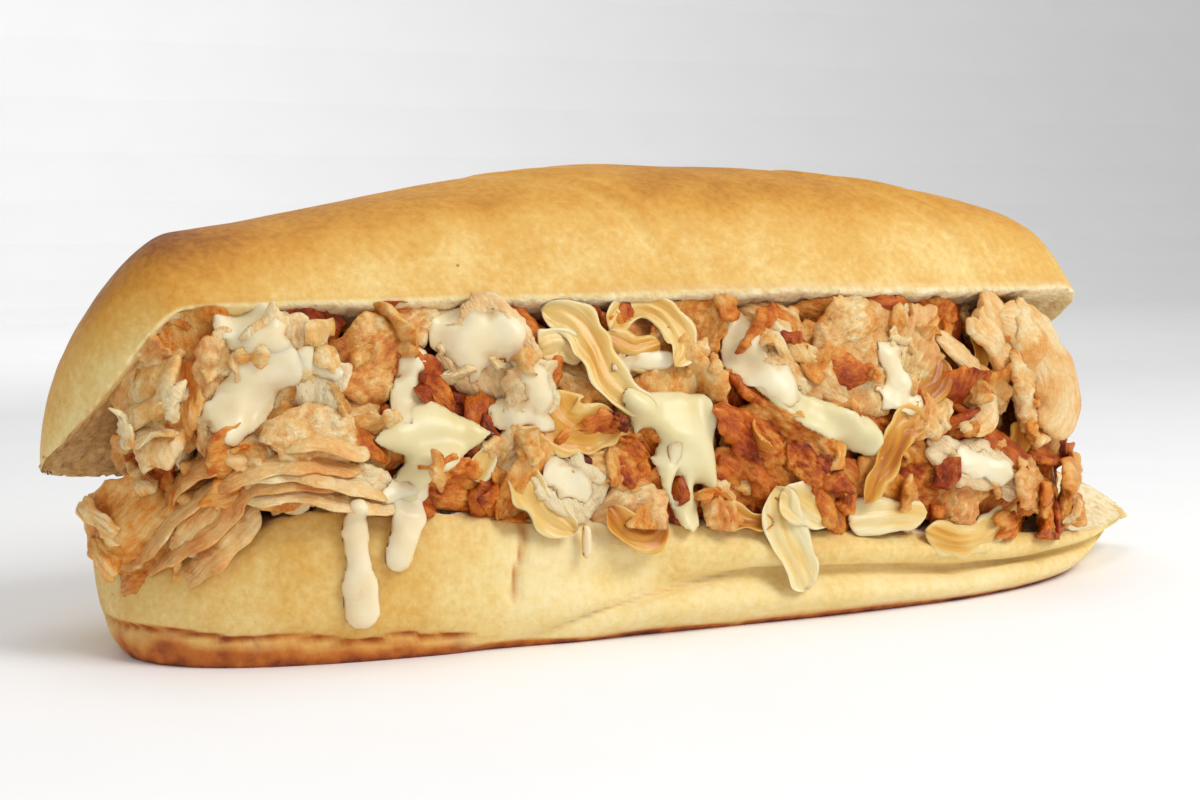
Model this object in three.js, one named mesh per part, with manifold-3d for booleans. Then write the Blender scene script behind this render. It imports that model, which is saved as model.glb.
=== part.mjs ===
// A hot submarine sandwich: a soft roll split along its front and hinged at its back, heaped with
// chopped grilled chicken, soft fried onion, melted white cheese and a creamy sauce.
// Millimetres. +X runs along the roll, -Y is the open front, +Z is up. The roll stands on Z = 0,
// and the origin is under the middle of its length and width.

import * as THREE from "three";
import { mergeVertices } from "three/addons/utils/BufferGeometryUtils.js";
import Module from "manifold-3d";

const wasm = await Module();
wasm.setup();

// Driving dimensions of the roll

const BASE_ENDS = [-97, 105]; // the lower half along X
const LID_ENDS = [-107.5, 83.5]; // the upper half, which has slid a little to the left
const HINGE_ENDS = [-78, 62]; // the uncut strip at the back
const HALF_WIDTH = 33.5; // of the base where it is widest
const LID_REACH = 27; // how far in front of the middle the lid's cut edge stands
const HINGE_BACK = 28; // how far behind the middle the cut stops
const HINGE_WALL = 7.5; // bread left behind the cut
const CUT_HEIGHT = 16; // of the base's front edge at X = 0
const CUT_FALL = 0.105; // the cut runs downhill to the right by this much for each millimetre
const CUT_END_SINK = 9; // and dips by this much at the base's left end
const TIP_LIFT = 2; // the base's right tip curls up by this much
const HINGE_HEIGHT = 28;
const HINGE_SINK = [6, 4]; // the bottom of the cut dips by this much towards its left and right ends
const LID_EDGE_HEIGHT = 53.5; // the lid's front edge, propped up by the filling
const LID_SLOPE = 0.44; // fall of the lid's cut face towards the hinge
const LID_DROOP = 14; // the left end of the lid sinks by this much over the heap's end
const LID_LIFT = 3; // the right end is propped up by this much
const LID_THICKNESS = 34.5; // at its crown, square to the cut face
const END_BOW = { left: 9, baseRight: 10, lidRight: 2 }; // how much fuller than a straight line the ends are in plan
const LID_END_RISE = 12; // the lid's cut face runs level to the back of its right end before it drops to the hinge
const CREASE_DEPTH = 2.6; // fold pressed along the front of the base

// Driving dimensions of the filling

const HEAP_RUN = [-0.88, 0.66]; // stations along the roll between which the heap's core lies
const HEAP_SETBACK = [1.5, 6]; // of the heap's face behind the base's edge and behind the lid's
const HEAP_BULGE = 3.5; // how far the heap swells out between the two edges
const HEAP_INSET = 1.2; // the core keeps this far off the bread
const GAP = 0.35; // clearance between neighbouring pieces
const SLICE_COLUMNS = 9;
const SLICE_ROWS = 4;
const SLICE_RISE = 0.23; // from one row of slices to the next, as a share of the heap's height
const SLICE_LENGTH = [12, 19];
const SLICE_WIDTH = [8, 12];
const SLICE_THICKNESS = [2.6, 3.8];
const ONION_WIDTH = 5;
const ONION_THICKNESS = 2;
const CHEESE_THICKNESS = 2.2;
const SLICE_STANDOFF = 1; // of the bigger slices' middles, in front of the heap's face
const ONION_STANDOFF = 3.2;
const SAUCE_STANDOFF = 3.6;
const CHEESE_STANDOFF = 4.2;
const WALL_STANDOFF = 4.5; // of what hangs over the base's edge, in front of that edge
const DRIP_WIDTH = 5.4;

// Meshing

const STATIONS = 32; // along the roll
const HEAP_STATIONS = 18; // along the heap
const STEPS = 2; // between two points of a cross-section's outline

const BREAD = { color: 0xe6b566, roughness: 0.75, metalness: 0 };
const CHICKEN = { color: 0xcf9f6c, roughness: 0.6, metalness: 0 };
const CHEESE = { color: 0xf2e6b4, roughness: 0.45, metalness: 0 };

const { clamp, lerp, smoothstep } = THREE.MathUtils;

// Small numbers that look random but are the same on every run.
function dice(seed) {
  let state = seed >>> 0;
  return (low = 0, high = 1) => {
    state = (Math.imul(state, 1664525) + 1013904223) >>> 0;
    return low + (state / 2 ** 32) * (high - low);
  };
}

// A smooth wobble between about -1 and 1 at a point, different for each seed.
function wobble(point, scale, seed) {
  const { x, y, z } = point;
  const turn = 2 * Math.PI / scale;
  return (Math.sin(turn * (x + 0.7 * y) + 1.7 * seed) +
    Math.sin(turn * (1.3 * y - 0.8 * z) + 2.9 * seed) +
    Math.sin(turn * (1.1 * z + 0.6 * x) + 4.1 * seed)) / 3;
}

// The roll

// X along a part that runs from left to right, for a station from -1 to 1, and the station of an X.
const along = ([left, right], t) => lerp(left, right, (t + 1) / 2);
const stationOf = ([left, right], x) => (2 * x - left - right) / (right - left);

// Plan and thickness of the two halves, as shares of the full size at a station.
const baseTaper = (t) =>
  t < 0 ? Math.sqrt(1 - Math.abs(t) ** 7) : (1 - t ** 2.2) ** 0.75;
const lidTaper = (t) => Math.sqrt(1 - Math.abs(t) ** (t < 0 ? 14 : 8));
const lidSwell = (t) => 1 - (t < 0 ? 0.33 : 0.11) * smoothstep(Math.abs(t), 0, 0.9);

// How far the crust stands off the cut face, from full along the roll to nothing at the ends' edges.
const roundEnd = (t, bluntness) => Math.sqrt(1 - Math.abs(t) ** bluntness);

// The three lines that the cut faces hang on: the base's edge, the bottom of the cut and the lid's edge.
function cutLines(t) {
  const baseX = along(BASE_ENDS, t);
  const lidX = along(LID_ENDS, t);
  const baseRim = new THREE.Vector3(
    baseX,
    -HALF_WIDTH * baseTaper(t),
    CUT_HEIGHT - CUT_FALL * baseX - CUT_END_SINK * (1 - smoothstep(t, -1, -0.72)) +
      TIP_LIFT * smoothstep(t, 0.7, 1),
  );
  const hinge = new THREE.Vector3(
    along(HINGE_ENDS, t),
    HINGE_BACK * (1 - 0.2 * t ** 4),
    HINGE_HEIGHT - HINGE_SINK[0] * (1 - smoothstep(t, -1, -0.4)) - HINGE_SINK[1] * smoothstep(t, 0.4, 1),
  );
  const lidY = -LID_REACH * lidTaper(t);
  const lidRim = new THREE.Vector3(
    lidX,
    lidY,
    LID_EDGE_HEIGHT - LID_SLOPE * (lidY + LID_REACH) - LID_DROOP * (1 - smoothstep(t, -1, -0.82)) +
      LID_LIFT * smoothstep(t, 0.7, 1),
  );
  return { baseRim, hinge, lidRim };
}

// The crust's outline at a station, from the base's edge under the roll and over to the lid's edge.
function crustOutline(t) {
  const { baseRim, hinge, lidRim } = cutLines(t);
  const width = HALF_WIDTH * baseTaper(t);
  const fold = smoothstep(baseRim.x, -46, -8);
  const wall = (out, share) => new THREE.Vector3(baseRim.x, -out, baseRim.z * share);
  const half = lidRim.clone().sub(hinge).multiplyScalar(0.5);
  const middle = hinge.clone().add(half);
  const up = new THREE.Vector3(0, half.z, -half.y).normalize();
  const dome = (run, rise) => middle.clone().addScaledVector(half, run)
    .addScaledVector(up, rise * LID_THICKNESS * lidSwell(t));
  const backX = lerp(baseRim.x, hinge.x, 0.6);
  return new THREE.CatmullRomCurve3([
    baseRim,
    wall(width + 1.6, 0.8),
    wall(width + 2 - CREASE_DEPTH * fold, lerp(0.55, 0.5, fold)),
    wall(width + 1.6 + 0.8 * fold, 0.25),
    new THREE.Vector3(baseRim.x, -0.92 * width, -1.5),
    new THREE.Vector3(lerp(baseRim.x, hinge.x, 0.3), 0.8 * width, -1.5),
    new THREE.Vector3(backX, 1.04 * width, 0.45 * hinge.z),
    new THREE.Vector3(hinge.x, hinge.y + HINGE_WALL, hinge.z + 2),
    dome(-0.82, 0.62),
    dome(-0.3, 0.98),
    dome(0.35, 0.97),
    dome(0.9, 0.55),
    lidRim,
  ], false, "centripetal");
}

const OUTLINE_SPANS = 12;
const HINGE_SHARE = 7 / OUTLINE_SPANS; // where the hinge lies on the outline, from 0 to 1

// How full an end is at a station, a share of the way between the tip of a half and the end of the hinge.
const fullness = (t, share) => Math.abs(t) ** 5 * Math.sin(Math.PI * share);

// How far a point of an end lies outside the straight line between them, along X.
function bow(t, onBase, share) {
  if (t < 0) return -END_BOW.left * fullness(t, share);
  return (onBase ? END_BOW.baseRight : END_BOW.lidRight) * fullness(t, share);
}

// A point of the cut faces: from the base's edge back to the bottom of the cut, then to the lid's edge.
function cutFace(t, u) {
  const { baseRim, hinge, lidRim } = cutLines(t);
  const onBase = u < HINGE_SHARE;
  const share = onBase ? u / HINGE_SHARE : (u - HINGE_SHARE) / (1 - HINGE_SHARE);
  const point = onBase ? baseRim.lerp(hinge, share) : hinge.lerp(lidRim, share);
  point.x += bow(t, onBase, share);
  if (t > 0 && !onBase) point.z += LID_END_RISE * fullness(t, share);
  return point;
}

// A point of the crust. Towards the ends it closes on the cut face, and the floor flattens it below.
function crust(t, u, outline) {
  const lidShare = smoothstep(u, HINGE_SHARE - 0.12, HINGE_SHARE + 0.12);
  const depth = lerp(roundEnd(t, t < 0 ? 30 : 5), roundEnd(t, t < 0 ? 20 : 10), lidShare);
  const onBase = u < HINGE_SHARE;
  const share = onBase ? u / HINGE_SHARE : (u - HINGE_SHARE) / (1 - HINGE_SHARE);
  const full = outline.getPoint(u);
  full.x += bow(t, onBase, share);
  const point = cutFace(t, u).lerp(full, depth);
  point.z = Math.max(point.z, 0);
  return point;
}

// A closed body between two sheets of points that share their edge: the crust and the cut faces.
function breadGeometry() {
  const columns = OUTLINE_SPANS * STEPS;
  const positions = [];
  const index = [];
  const stations = [...Array(STATIONS + 1).keys()].map((i) => Math.sin((i / STATIONS - 0.5) * Math.PI));
  for (const t of stations) {
    const outline = crustOutline(t);
    for (let j = 0; j <= columns; j++) positions.push(...crust(t, j / columns, outline));
  }
  const inner = positions.length / 3;
  for (const t of stations) {
    for (let j = 0; j <= columns; j++) positions.push(...cutFace(t, j / columns));
  }
  for (let i = 0; i < STATIONS; i++) {
    for (let j = 0; j < columns; j++) {
      const a = i * (columns + 1) + j;
      const [b, c, d] = [a + 1, a + columns + 1, a + columns + 2];
      index.push(a, b, c, b, d, c);
      index.push(inner + a, inner + c, inner + b, inner + b, inner + c, inner + d);
    }
  }
  return new THREE.BufferGeometry()
    .setAttribute("position", new THREE.Float32BufferAttribute(positions, 3))
    .setIndex(index);
}

// Solids

// Merged vertices of a geometry, with the triangles that have shrunk to nothing left out.
function welded(geometry) {
  const bare = new THREE.BufferGeometry().setAttribute("position", geometry.getAttribute("position"));
  if (geometry.index) bare.setIndex(geometry.index);
  const merged = mergeVertices(bare, 1e-3);
  const kept = [];
  const { array } = merged.index;
  for (let i = 0; i < array.length; i += 3) {
    const [a, b, c] = array.slice(i, i + 3);
    if (a !== b && b !== c && a !== c) kept.push(a, b, c);
  }
  return merged.setIndex(kept);
}

function solid(geometry) {
  const merged = welded(geometry);
  return new wasm.Manifold(new wasm.Mesh({
    numProp: 3,
    vertProperties: merged.attributes.position.array,
    triVerts: new Uint32Array(merged.index.array),
  }));
}

function geometryOf(body) {
  const mesh = body.getMesh();
  return new THREE.BufferGeometry()
    .setAttribute("position", new THREE.BufferAttribute(mesh.vertProperties, 3))
    .setIndex(new THREE.BufferAttribute(mesh.triVerts, 1));
}

// The same body with every vertex moved out by a clearance, to cut room for it in its neighbours.
// The faces round a vertex count alike, so that a thin edge grows to both sides.
function grown(body, by) {
  const geometry = geometryOf(body);
  const { position } = geometry.attributes;
  const corners = geometry.index.array;
  const outward = Array.from({ length: position.count }, () => new THREE.Vector3());
  const [a, b, c, normal] = Array.from({ length: 4 }, () => new THREE.Vector3());
  for (let i = 0; i < corners.length; i += 3) {
    const face = corners.slice(i, i + 3);
    [a, b, c].forEach((point, k) => point.fromBufferAttribute(position, face[k]));
    THREE.Triangle.getNormal(a, b, c, normal);
    face.forEach((corner) => outward[corner].add(normal));
  }
  outward.forEach((direction, i) => {
    direction.setLength(by).add(a.fromBufferAttribute(position, i));
    position.setXYZ(i, direction.x, direction.y, direction.z);
  });
  return solid(geometry);
}

// The largest body of a cut or joined solid: loose scraps are dropped.
const largest = (body) => body.decompose().sort((a, b) => b.volume() - a.volume())[0];

function node(name, body, finish) {
  const mesh = new THREE.Mesh(geometryOf(body), new THREE.MeshStandardMaterial(finish));
  mesh.name = name;
  return mesh;
}

// The filling

// A point of the heap's front face at a station, a share of the way up from the base's edge to the lid's.
function heapFace(t, height) {
  const { baseRim, lidRim } = cutLines(t);
  const point = baseRim.lerp(lidRim, height);
  point.y += lerp(...HEAP_SETBACK, height) - HEAP_BULGE * Math.sin(Math.PI * height);
  return point;
}

// The point where a piece seen at X and Z lies: off the heap's face, or below it in front of the base's wall.
function onFront(x, z, standoff) {
  const height = (z - CUT_HEIGHT + CUT_FALL * x) / (LID_EDGE_HEIGHT - CUT_HEIGHT + CUT_FALL * x);
  const share = clamp(height, 0, 1);
  const ends = BASE_ENDS.map((end, i) => lerp(end, LID_ENDS[i], share));
  const face = heapFace(clamp(stationOf(ends, x), -0.97, 0.97), share);
  return new THREE.Vector3(x, face.y - (height < 0 ? Math.max(standoff, WALL_STANDOFF) : standoff), z);
}

// The solid core of the heap: rings that follow the cut faces and the bulging front, closed at each end.
function heapCore() {
  const rings = [];
  for (let i = 0; i <= HEAP_STATIONS; i++) {
    const run = Math.sin((i / HEAP_STATIONS - 0.5) * Math.PI);
    const t = along(HEAP_RUN, run);
    const ring = [0.1, 0.5, 0.86].map((share) => cutFace(t, share * HINGE_SHARE));
    ring.push(...[0.14, 0.5, 0.92].map((share) => cutFace(t, lerp(HINGE_SHARE, 1, share))));
    ring.push(...[0.85, 0.6, 0.35, 0.12].map((height) => heapFace(t, height)));
    const centre = new THREE.Vector3();
    ring.forEach((point) => centre.addScaledVector(point, 1 / ring.length));
    for (const point of ring) {
      const inward = centre.clone().sub(point);
      point.addScaledVector(inward.normalize(), HEAP_INSET).lerp(centre, 1 - roundEnd(run, 16));
    }
    rings.push(ring);
  }
  return loft(rings);
}

// A closed body through rings of points, whose first and last rings have shrunk to a point.
function loft(rings) {
  const around = rings[0].length;
  const index = [];
  for (let i = 0; i + 1 < rings.length; i++) {
    for (let j = 0; j < around; j++) {
      const [a, b] = [i * around + j, i * around + (j + 1) % around];
      const [c, d] = [a + around, b + around];
      index.push(a, b, c, b, d, c);
    }
  }
  const positions = rings.flat().flatMap((point) => point.toArray());
  return new THREE.BufferGeometry()
    .setAttribute("position", new THREE.Float32BufferAttribute(positions, 3))
    .setIndex(index);
}

// Moves every vertex of a geometry by a function that changes the point it is given.
function reshaped(geometry, change) {
  const { position } = geometry.attributes;
  const point = new THREE.Vector3();
  for (let i = 0; i < position.count; i++) {
    change(point.fromBufferAttribute(position, i));
    position.setXYZ(i, point.x, point.y, point.z);
  }
  return geometry;
}

// A torn, curled slice of chicken lying flat in X and Y.
function slice(length, width, thickness, curl, seed) {
  return reshaped(new THREE.BoxGeometry(length, width, thickness, 3, 2, 1), (point) => {
    const across = (2 * point.x) / length;
    const ragged = 1 + 0.22 * wobble(point, 11, seed);
    point.x *= ragged;
    point.y *= ragged * (1 - 0.25 * across * across);
    point.z += curl * across * across + 0.8 * wobble(point, 14, seed + 3);
  });
}

// A rounded lump of sauce.
function lump(size, seed) {
  return reshaped(new THREE.IcosahedronGeometry(1, 1), (point) => {
    point.multiplyScalar(1 + 0.16 * wobble(point, 1.6, seed)).multiply(size);
  });
}

// A flat strip along a path, its broad side to the front.
function strip(points, width, thickness) {
  const [w, d] = [width / 2, thickness / 2];
  const section = new THREE.Shape([[-d, -w], [d, -w], [d, w], [-d, w]].map((p) => new THREE.Vector2(...p)));
  const extrudePath = new THREE.CatmullRomCurve3(points);
  return new THREE.ExtrudeGeometry(section, { extrudePath, steps: 6, bevelEnabled: false });
}

function placed(geometry, at, turn) {
  const matrix = new THREE.Matrix4().makeRotationFromEuler(new THREE.Euler(...turn, "ZYX")).setPosition(at);
  return geometry.applyMatrix4(matrix);
}

// A slice of a size drawn at random, tipped by up to a given angle from facing the front.
function looseSlice(at, roll, facing, tip) {
  const size = [SLICE_LENGTH, SLICE_WIDTH, SLICE_THICKNESS].map((range) => roll(...range));
  const shape = slice(...size, roll(-3, 3), roll(0, 9)).rotateZ(roll(-1.5, 1.5));
  return placed(shape, at, [Math.PI / 2 + roll(-tip, tip), 0, facing + roll(-tip, tip)]);
}

// Slices all over the front of the heap, in staggered rows, each turned and tipped its own way.
function frontSlices() {
  const roll = dice(11);
  const pieces = [];
  for (let row = 0; row < SLICE_ROWS; row++) {
    for (let column = 0; column < SLICE_COLUMNS; column++) {
      const run = (column + 0.5 * (row % 2) + roll(0.2, 0.6)) / SLICE_COLUMNS;
      const at = heapFace(lerp(...HEAP_RUN, run), SLICE_RISE * (row + roll(0.1, 0.4)));
      pieces.push(looseSlice(at, roll, 0, 0.45));
    }
  }
  return pieces;
}

// Slices over the two ends of the heap, from just behind its face to half way back to the hinge.
function endSlices() {
  const roll = dice(29);
  const pieces = [];
  HEAP_RUN.forEach((t, end) => {
    for (const [depth, height] of END_SPOTS) {
      const below = cutFace(t, depth * HINGE_SHARE);
      const above = cutFace(t, lerp(1, HINGE_SHARE, depth));
      pieces.push(looseSlice(below.lerp(above, height), roll, end ? 1.2 : -1.2, 0.4));
    }
  });
  return pieces;
}

// Bigger pieces that stand out of the heap: where each is seen, its size, how its length leans,
// how far it is tipped up from lying flat, and how far it faces away from the front.
const LARGE_SLICES = [
  { at: [-79, 41], size: [21, 15, 6], lean: 0.25, tip: 1.5, facing: 0.1 }, // sauced slab on the left
  { at: [-92, 38], size: [16, 12, 5], lean: 0.9, tip: 1.3, facing: -0.5 }, // chunk under the lid's left end
  { at: [-90, 21], size: [24, 9, 3], lean: 1.75, tip: 1.4, facing: -0.4 }, // slices hanging off the left end
  { at: [-96, 21], size: [20, 9, 3], lean: 2.1, tip: 1.4, facing: -0.8 },
  { at: [-97.5, 22], size: [15, 9, 4], lean: 1.4, tip: 1.3, facing: -1.0 },
  { at: [-43, 45], size: [20, 14, 5], lean: -0.4, tip: 1.4, facing: 0 },
  { at: [2, 29], size: [26, 8, 4], lean: -0.6, tip: 1.3, facing: 0 }, // dark browned pieces in the middle
  { at: [30, 42], size: [19, 14, 7], lean: 0.3, tip: 1.4, facing: 0.1 },
  { at: [60, 38], size: [22, 12, 4], lean: 1.9, tip: 1.4, facing: 0.6 }, // fold at the right end
  { at: [54, 21], size: [26, 11, 5], lean: -0.25, tip: 1.3, facing: 0.2 }, // ragged piece low on the right
  { at: [70, 13.5], size: [16, 7, 3.5], lean: -0.2, tip: 1.2, facing: 0.4 },
];

// Strips of soft onion, as the X and Z their middle lines are seen at.
const ONION_STRIPS = [
  [[-34, 50], [-28, 46.6], [-25.5, 40], [-17, 37]],
  [[-23, 49], [-17, 51], [-11.4, 45.4], [-16, 42]],
  [[-42, 29], [-38.7, 23], [-34.5, 18]],
  [[4, 22.7], [6, 14], [7.5, 6]],
  [[18.6, 17.5], [26, 16], [33, 17]],
  [[30, 32], [24, 27], [21.5, 19]],
  [[37.8, 14.5], [47, 13], [55.7, 16]],
  [[43, 41], [47, 37.5], [43, 34]],
];

// Where slices lie on the heap's ends: shares of the way back to the hinge, and of the way up.
const END_SPOTS = [[0.12, 0.25], [0.12, 0.7], [0.35, 0.45], [0.35, 0.8], [0.58, 0.5]];

// Thick spots of sauce on the meat: where each is seen, and its half sizes.
const SAUCE_SPOTS = [
  { at: [-81, 49], size: [7, 2.4, 4] },
  { at: [-81, 39], size: [6, 2.4, 5] },
  { at: [-46, 48], size: [7, 2.4, 4] },
  { at: [-38, 38], size: [4, 2.2, 4] },
  { at: [3, 44], size: [6, 2.2, 7] },
  { at: [29, 40], size: [4, 2.2, 3] },
];

// Pieces of melting cheese, as the corners they are seen at, anticlockwise from the left or lower left.
const CHEESES = {
  cheese_left: [[-66.5, 33.6], [-55.5, 27.5], [-44.6, 33.8], [-55.8, 40]],
  cheese_middle: [[-19, 25.5], [-7, 21.5], [-7, 38.5], [-25, 39.5]],
  cheese_right: [[1, 36], [24.5, 25.5], [25, 33.5], [6, 44]],
};

// Runs of sauce down the front of the base, as the X and Z of their top and bottom.
const DRIPS = [
  [[-67.7, 23.5], [-67.5, 6]],
  [[-60.3, 23.5], [-61.5, 15]],
];

// A sheet of cheese that follows the heap's face between four corners, softened and a little wavy.
function cheeseSheet(corners, seed) {
  const [a, b, c, d] = corners.map((corner) => new THREE.Vector2(...corner));
  return reshaped(new THREE.BoxGeometry(1, 1, 1, 7, 7, 1), (point) => {
    const outwards = point.z > 0 ? 1 : -1;
    const corner = Math.abs(4 * point.x * point.y);
    const [u, v] = [point.x, point.y].map((side) => 0.5 + side * (1 - 0.16 * corner));
    const seen = a.clone().lerp(b, u).lerp(d.clone().lerp(c, u), v);
    point.copy(onFront(seen.x, seen.y, CHEESE_STANDOFF));
    const edge = 1 - 0.55 * Math.max(Math.abs(2 * u - 1), Math.abs(2 * v - 1)) ** 6;
    point.y -= 0.7 * wobble(point, 17, seed) + outwards * 0.5 * CHEESE_THICKNESS * edge;
  });
}

// A run of sauce: a strip down the wall of the base that ends in a drop.
function drip(top, bottom) {
  const line = [0, 0.3, 0.6, 1].map((share) => {
    const [x, z] = top.map((from, i) => lerp(from, bottom[i], share));
    return new THREE.Vector3(x, -HALF_WIDTH * baseTaper(stationOf(BASE_ENDS, x)) - 1.2, z);
  });
  const drop = lump(new THREE.Vector3(0.62 * DRIP_WIDTH, 1.9, 0.75 * DRIP_WIDTH), 2);
  return solid(strip(line, 0.8 * DRIP_WIDTH, 2.4)).add(solid(placed(drop, line.at(-1), [0, 0, 0])));
}

const sandwich = new THREE.Group();

let bread = solid(breadGeometry());
let breadRoom = grown(bread, GAP);
for (const [top, bottom] of DRIPS) {
  const run = drip(top, bottom);
  bread = bread.add(run);
  breadRoom = breadRoom.add(grown(run, GAP));
}
sandwich.add(node("roll", bread, BREAD));

let heap = solid(heapCore());
const pieces = [...frontSlices(), ...endSlices()];
LARGE_SLICES.forEach(({ at, size, lean, tip, facing }, i) => {
  pieces.push(placed(slice(...size, 2.5, i).rotateZ(lean), onFront(...at, SLICE_STANDOFF), [tip, 0, facing]));
});
for (const line of ONION_STRIPS) {
  const path = line.map(([x, z]) => onFront(x, z, ONION_STANDOFF));
  pieces.push(strip(path, ONION_WIDTH, ONION_THICKNESS));
}
SAUCE_SPOTS.forEach(({ at, size }, i) => {
  pieces.push(placed(lump(new THREE.Vector3(...size), i), onFront(...at, SAUCE_STANDOFF), [0, 0, 0]));
});
for (const piece of pieces) heap = heap.add(solid(piece));
heap = heap.subtract(breadRoom);

Object.entries(CHEESES).forEach(([name, corners], i) => {
  const sheet = largest(solid(cheeseSheet(corners, i)).subtract(breadRoom));
  sandwich.add(node(name, sheet, CHEESE));
  heap = heap.subtract(grown(sheet, GAP));
});
sandwich.add(node("filling", largest(heap), CHICKEN));

export default sandwich;
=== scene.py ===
# %% [markdown]
# # A hot submarine sandwich
# A soft roll is split along its front, hinged at its back and heaped with chopped grilled chicken,
# soft fried onion, melting cheese and a creamy sauce. The CAD model gives every form its place, and
# this lesson dresses it: each piece is a dense mesh with its own procedural finish. Sizes are in
# millimetres throughout and become metres only when a mesh is made.

# %% Load the frame
import math
import random

import bmesh
import bpy
import numpy as np
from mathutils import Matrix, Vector
from mathutils.bvhtree import BVHTree


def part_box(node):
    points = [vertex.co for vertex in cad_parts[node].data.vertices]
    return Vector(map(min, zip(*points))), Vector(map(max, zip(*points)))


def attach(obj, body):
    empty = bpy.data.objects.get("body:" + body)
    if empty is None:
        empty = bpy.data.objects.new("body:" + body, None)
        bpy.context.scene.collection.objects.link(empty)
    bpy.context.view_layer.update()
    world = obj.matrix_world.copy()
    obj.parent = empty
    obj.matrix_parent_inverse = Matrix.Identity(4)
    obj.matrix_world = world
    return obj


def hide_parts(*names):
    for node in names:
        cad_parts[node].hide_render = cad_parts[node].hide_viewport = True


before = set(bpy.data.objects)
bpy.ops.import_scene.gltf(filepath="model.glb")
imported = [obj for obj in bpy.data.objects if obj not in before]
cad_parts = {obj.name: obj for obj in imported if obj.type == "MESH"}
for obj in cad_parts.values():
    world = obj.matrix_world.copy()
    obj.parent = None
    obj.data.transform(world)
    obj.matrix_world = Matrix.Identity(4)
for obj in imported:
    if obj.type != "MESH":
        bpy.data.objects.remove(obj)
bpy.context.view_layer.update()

MM = 0.001

# %% [markdown]
# ## Small tools
# Food is uneven at every scale, so nearly every step below needs a smooth random field. Blender has
# one in mathutils.noise, but it takes one point at a time. The same idea in numpy moves a hundred
# thousand vertices at once: random slopes at the corners of a lattice, blended across each cell.

# %% A smooth random field
CORNERS = np.array([(i >> 2 & 1, i >> 1 & 1, i & 1) for i in range(8)])
PRIMES = np.array([374761393, 668265263, 1440662683])


def grain(points, size, seed=0):
    """Noise between about -1 and 1 at each point, with lumps of a size in millimetres."""
    place = np.asarray(points, float) / size + 13.7 * seed
    cell = np.floor(place).astype(np.int64)
    inside = place - cell
    ease = inside**3 * (inside * (inside * 6 - 15) + 10)
    total = np.zeros(len(place))
    for corner in CORNERS:
        key = (cell + corner) @ PRIMES
        key = (key ^ (key >> 13)) & 0xFFFFFFFF
        key = key * 1274126177
        key = key ^ (key >> 29)
        slope = np.stack([(key >> bits & 1023) / 511.5 - 1 for bits in (0, 10, 20)], -1)
        weight = np.where(corner, ease, 1 - ease).prod(-1)
        total += weight * ((inside - corner) * slope).sum(-1)
    return 1.6 * total


def lerp(a, b, share):
    return a + (b - a) * share


def smooth(x, low, high):
    """0 below low, 1 above high and an S-shaped rise between."""
    share = np.clip((x - low) / (high - low), 0, 1)
    return share * share * (3 - 2 * share)


print("noise sample:", grain([[1, 2, 3], [40, 5, 6]], 9).round(3))

# %% [markdown]
# A curve through a handful of points is all that the roll's cross-section and the onion strips need.
# The centripetal Catmull-Rom curve passes through every point without loops, and it is the curve that
# the CAD model uses, so the dressed roll lies exactly on the solid one.

# %% A smooth curve through points


def through(points, shares):
    """The curve through points (K, n, 3) at shares (n,) of its spans."""
    points = np.asarray(points, float)
    padded = np.concatenate([2 * points[:1] - points[1:2], points, 2 * points[-1:] - points[-2:-1]])
    spans = len(points) - 1
    place = np.clip(shares, 0, 1) * spans
    span = np.minimum(place.astype(int), spans - 1)
    w = (place - span)[:, None]
    column = np.arange(len(shares)) if points.shape[1] > 1 else np.zeros(len(shares), int)
    p0, p1, p2, p3 = (padded[span + k, column] for k in range(4))
    d0, d1, d2 = (
        np.maximum(np.linalg.norm(b - a, axis=-1, keepdims=True), 1e-8) ** 0.5
        for a, b in ((p0, p1), (p1, p2), (p2, p3))
    )
    m1 = ((p1 - p0) / d0 - (p2 - p0) / (d0 + d1) + (p2 - p1) / d1) * d1
    m2 = ((p2 - p1) / d1 - (p3 - p1) / (d1 + d2) + (p3 - p2) / d2) * d1
    return p1 + w * (m1 + w * (3 * (p2 - p1) - 2 * m1 - m2 + w * (2 * (p1 - p2) + m1 + m2)))


def along_path(path, shares):
    """The curve through one list of points, at many shares."""
    return through(np.asarray(path, float)[:, None, :], np.asarray(shares, float))


BEND = [(0, 0, 0), (9, 9, 0), (18, 0, 0)]
print("a quarter of the way round a bend:", along_path(BEND, [0.25]).round(1))

# %% [markdown]
# Colours are written as sRGB hex values, as any colour picker shows them, and turned to the linear
# values that the shader works in. One function adds a node with its settings, another fills its inputs.

# %% Colours and nodes


def colour(code):
    """Linear red, green, blue and alpha of an sRGB hex code."""
    parts = [int(code[i : i + 2], 16) / 255 for i in (0, 2, 4)]
    return [p / 12.92 if p <= 0.04045 else ((p + 0.055) / 1.055) ** 2.4 for p in parts] + [1.0]


def connect(tree, node, links):
    """Gives a node's inputs their values, or links them to a socket or to a node's first output."""
    for socket, value in links.items():
        if isinstance(value, bpy.types.Node):
            value = value.outputs[0]
        if isinstance(value, bpy.types.NodeSocket):
            tree.links.new(value, node.inputs[socket])
        else:
            node.inputs[socket].default_value = value


def add(tree, kind, links=None, stops=None, **settings):
    """A new shader node with its settings and links; stops are a ramp's colours, its ends first."""
    node = tree.nodes.new("ShaderNode" + kind)
    for name, value in settings.items():
        setattr(node, name, value)
    for place, code in stops or []:
        ramp = node.color_ramp.elements
        element = ramp[0] if place == 0 else ramp[1] if place == 1 else ramp.new(place)
        element.color = colour(code)
    connect(tree, node, links or {})
    return node


def material(name):
    """A node material, its tree, its principled shader and its object coordinates."""
    made = bpy.data.materials.new(name)
    made.use_nodes = True
    tree = made.node_tree
    shader = tree.nodes["Principled BSDF"]
    coords = add(tree, "TexCoord").outputs["Object"]
    return made, tree, shader, coords


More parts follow.
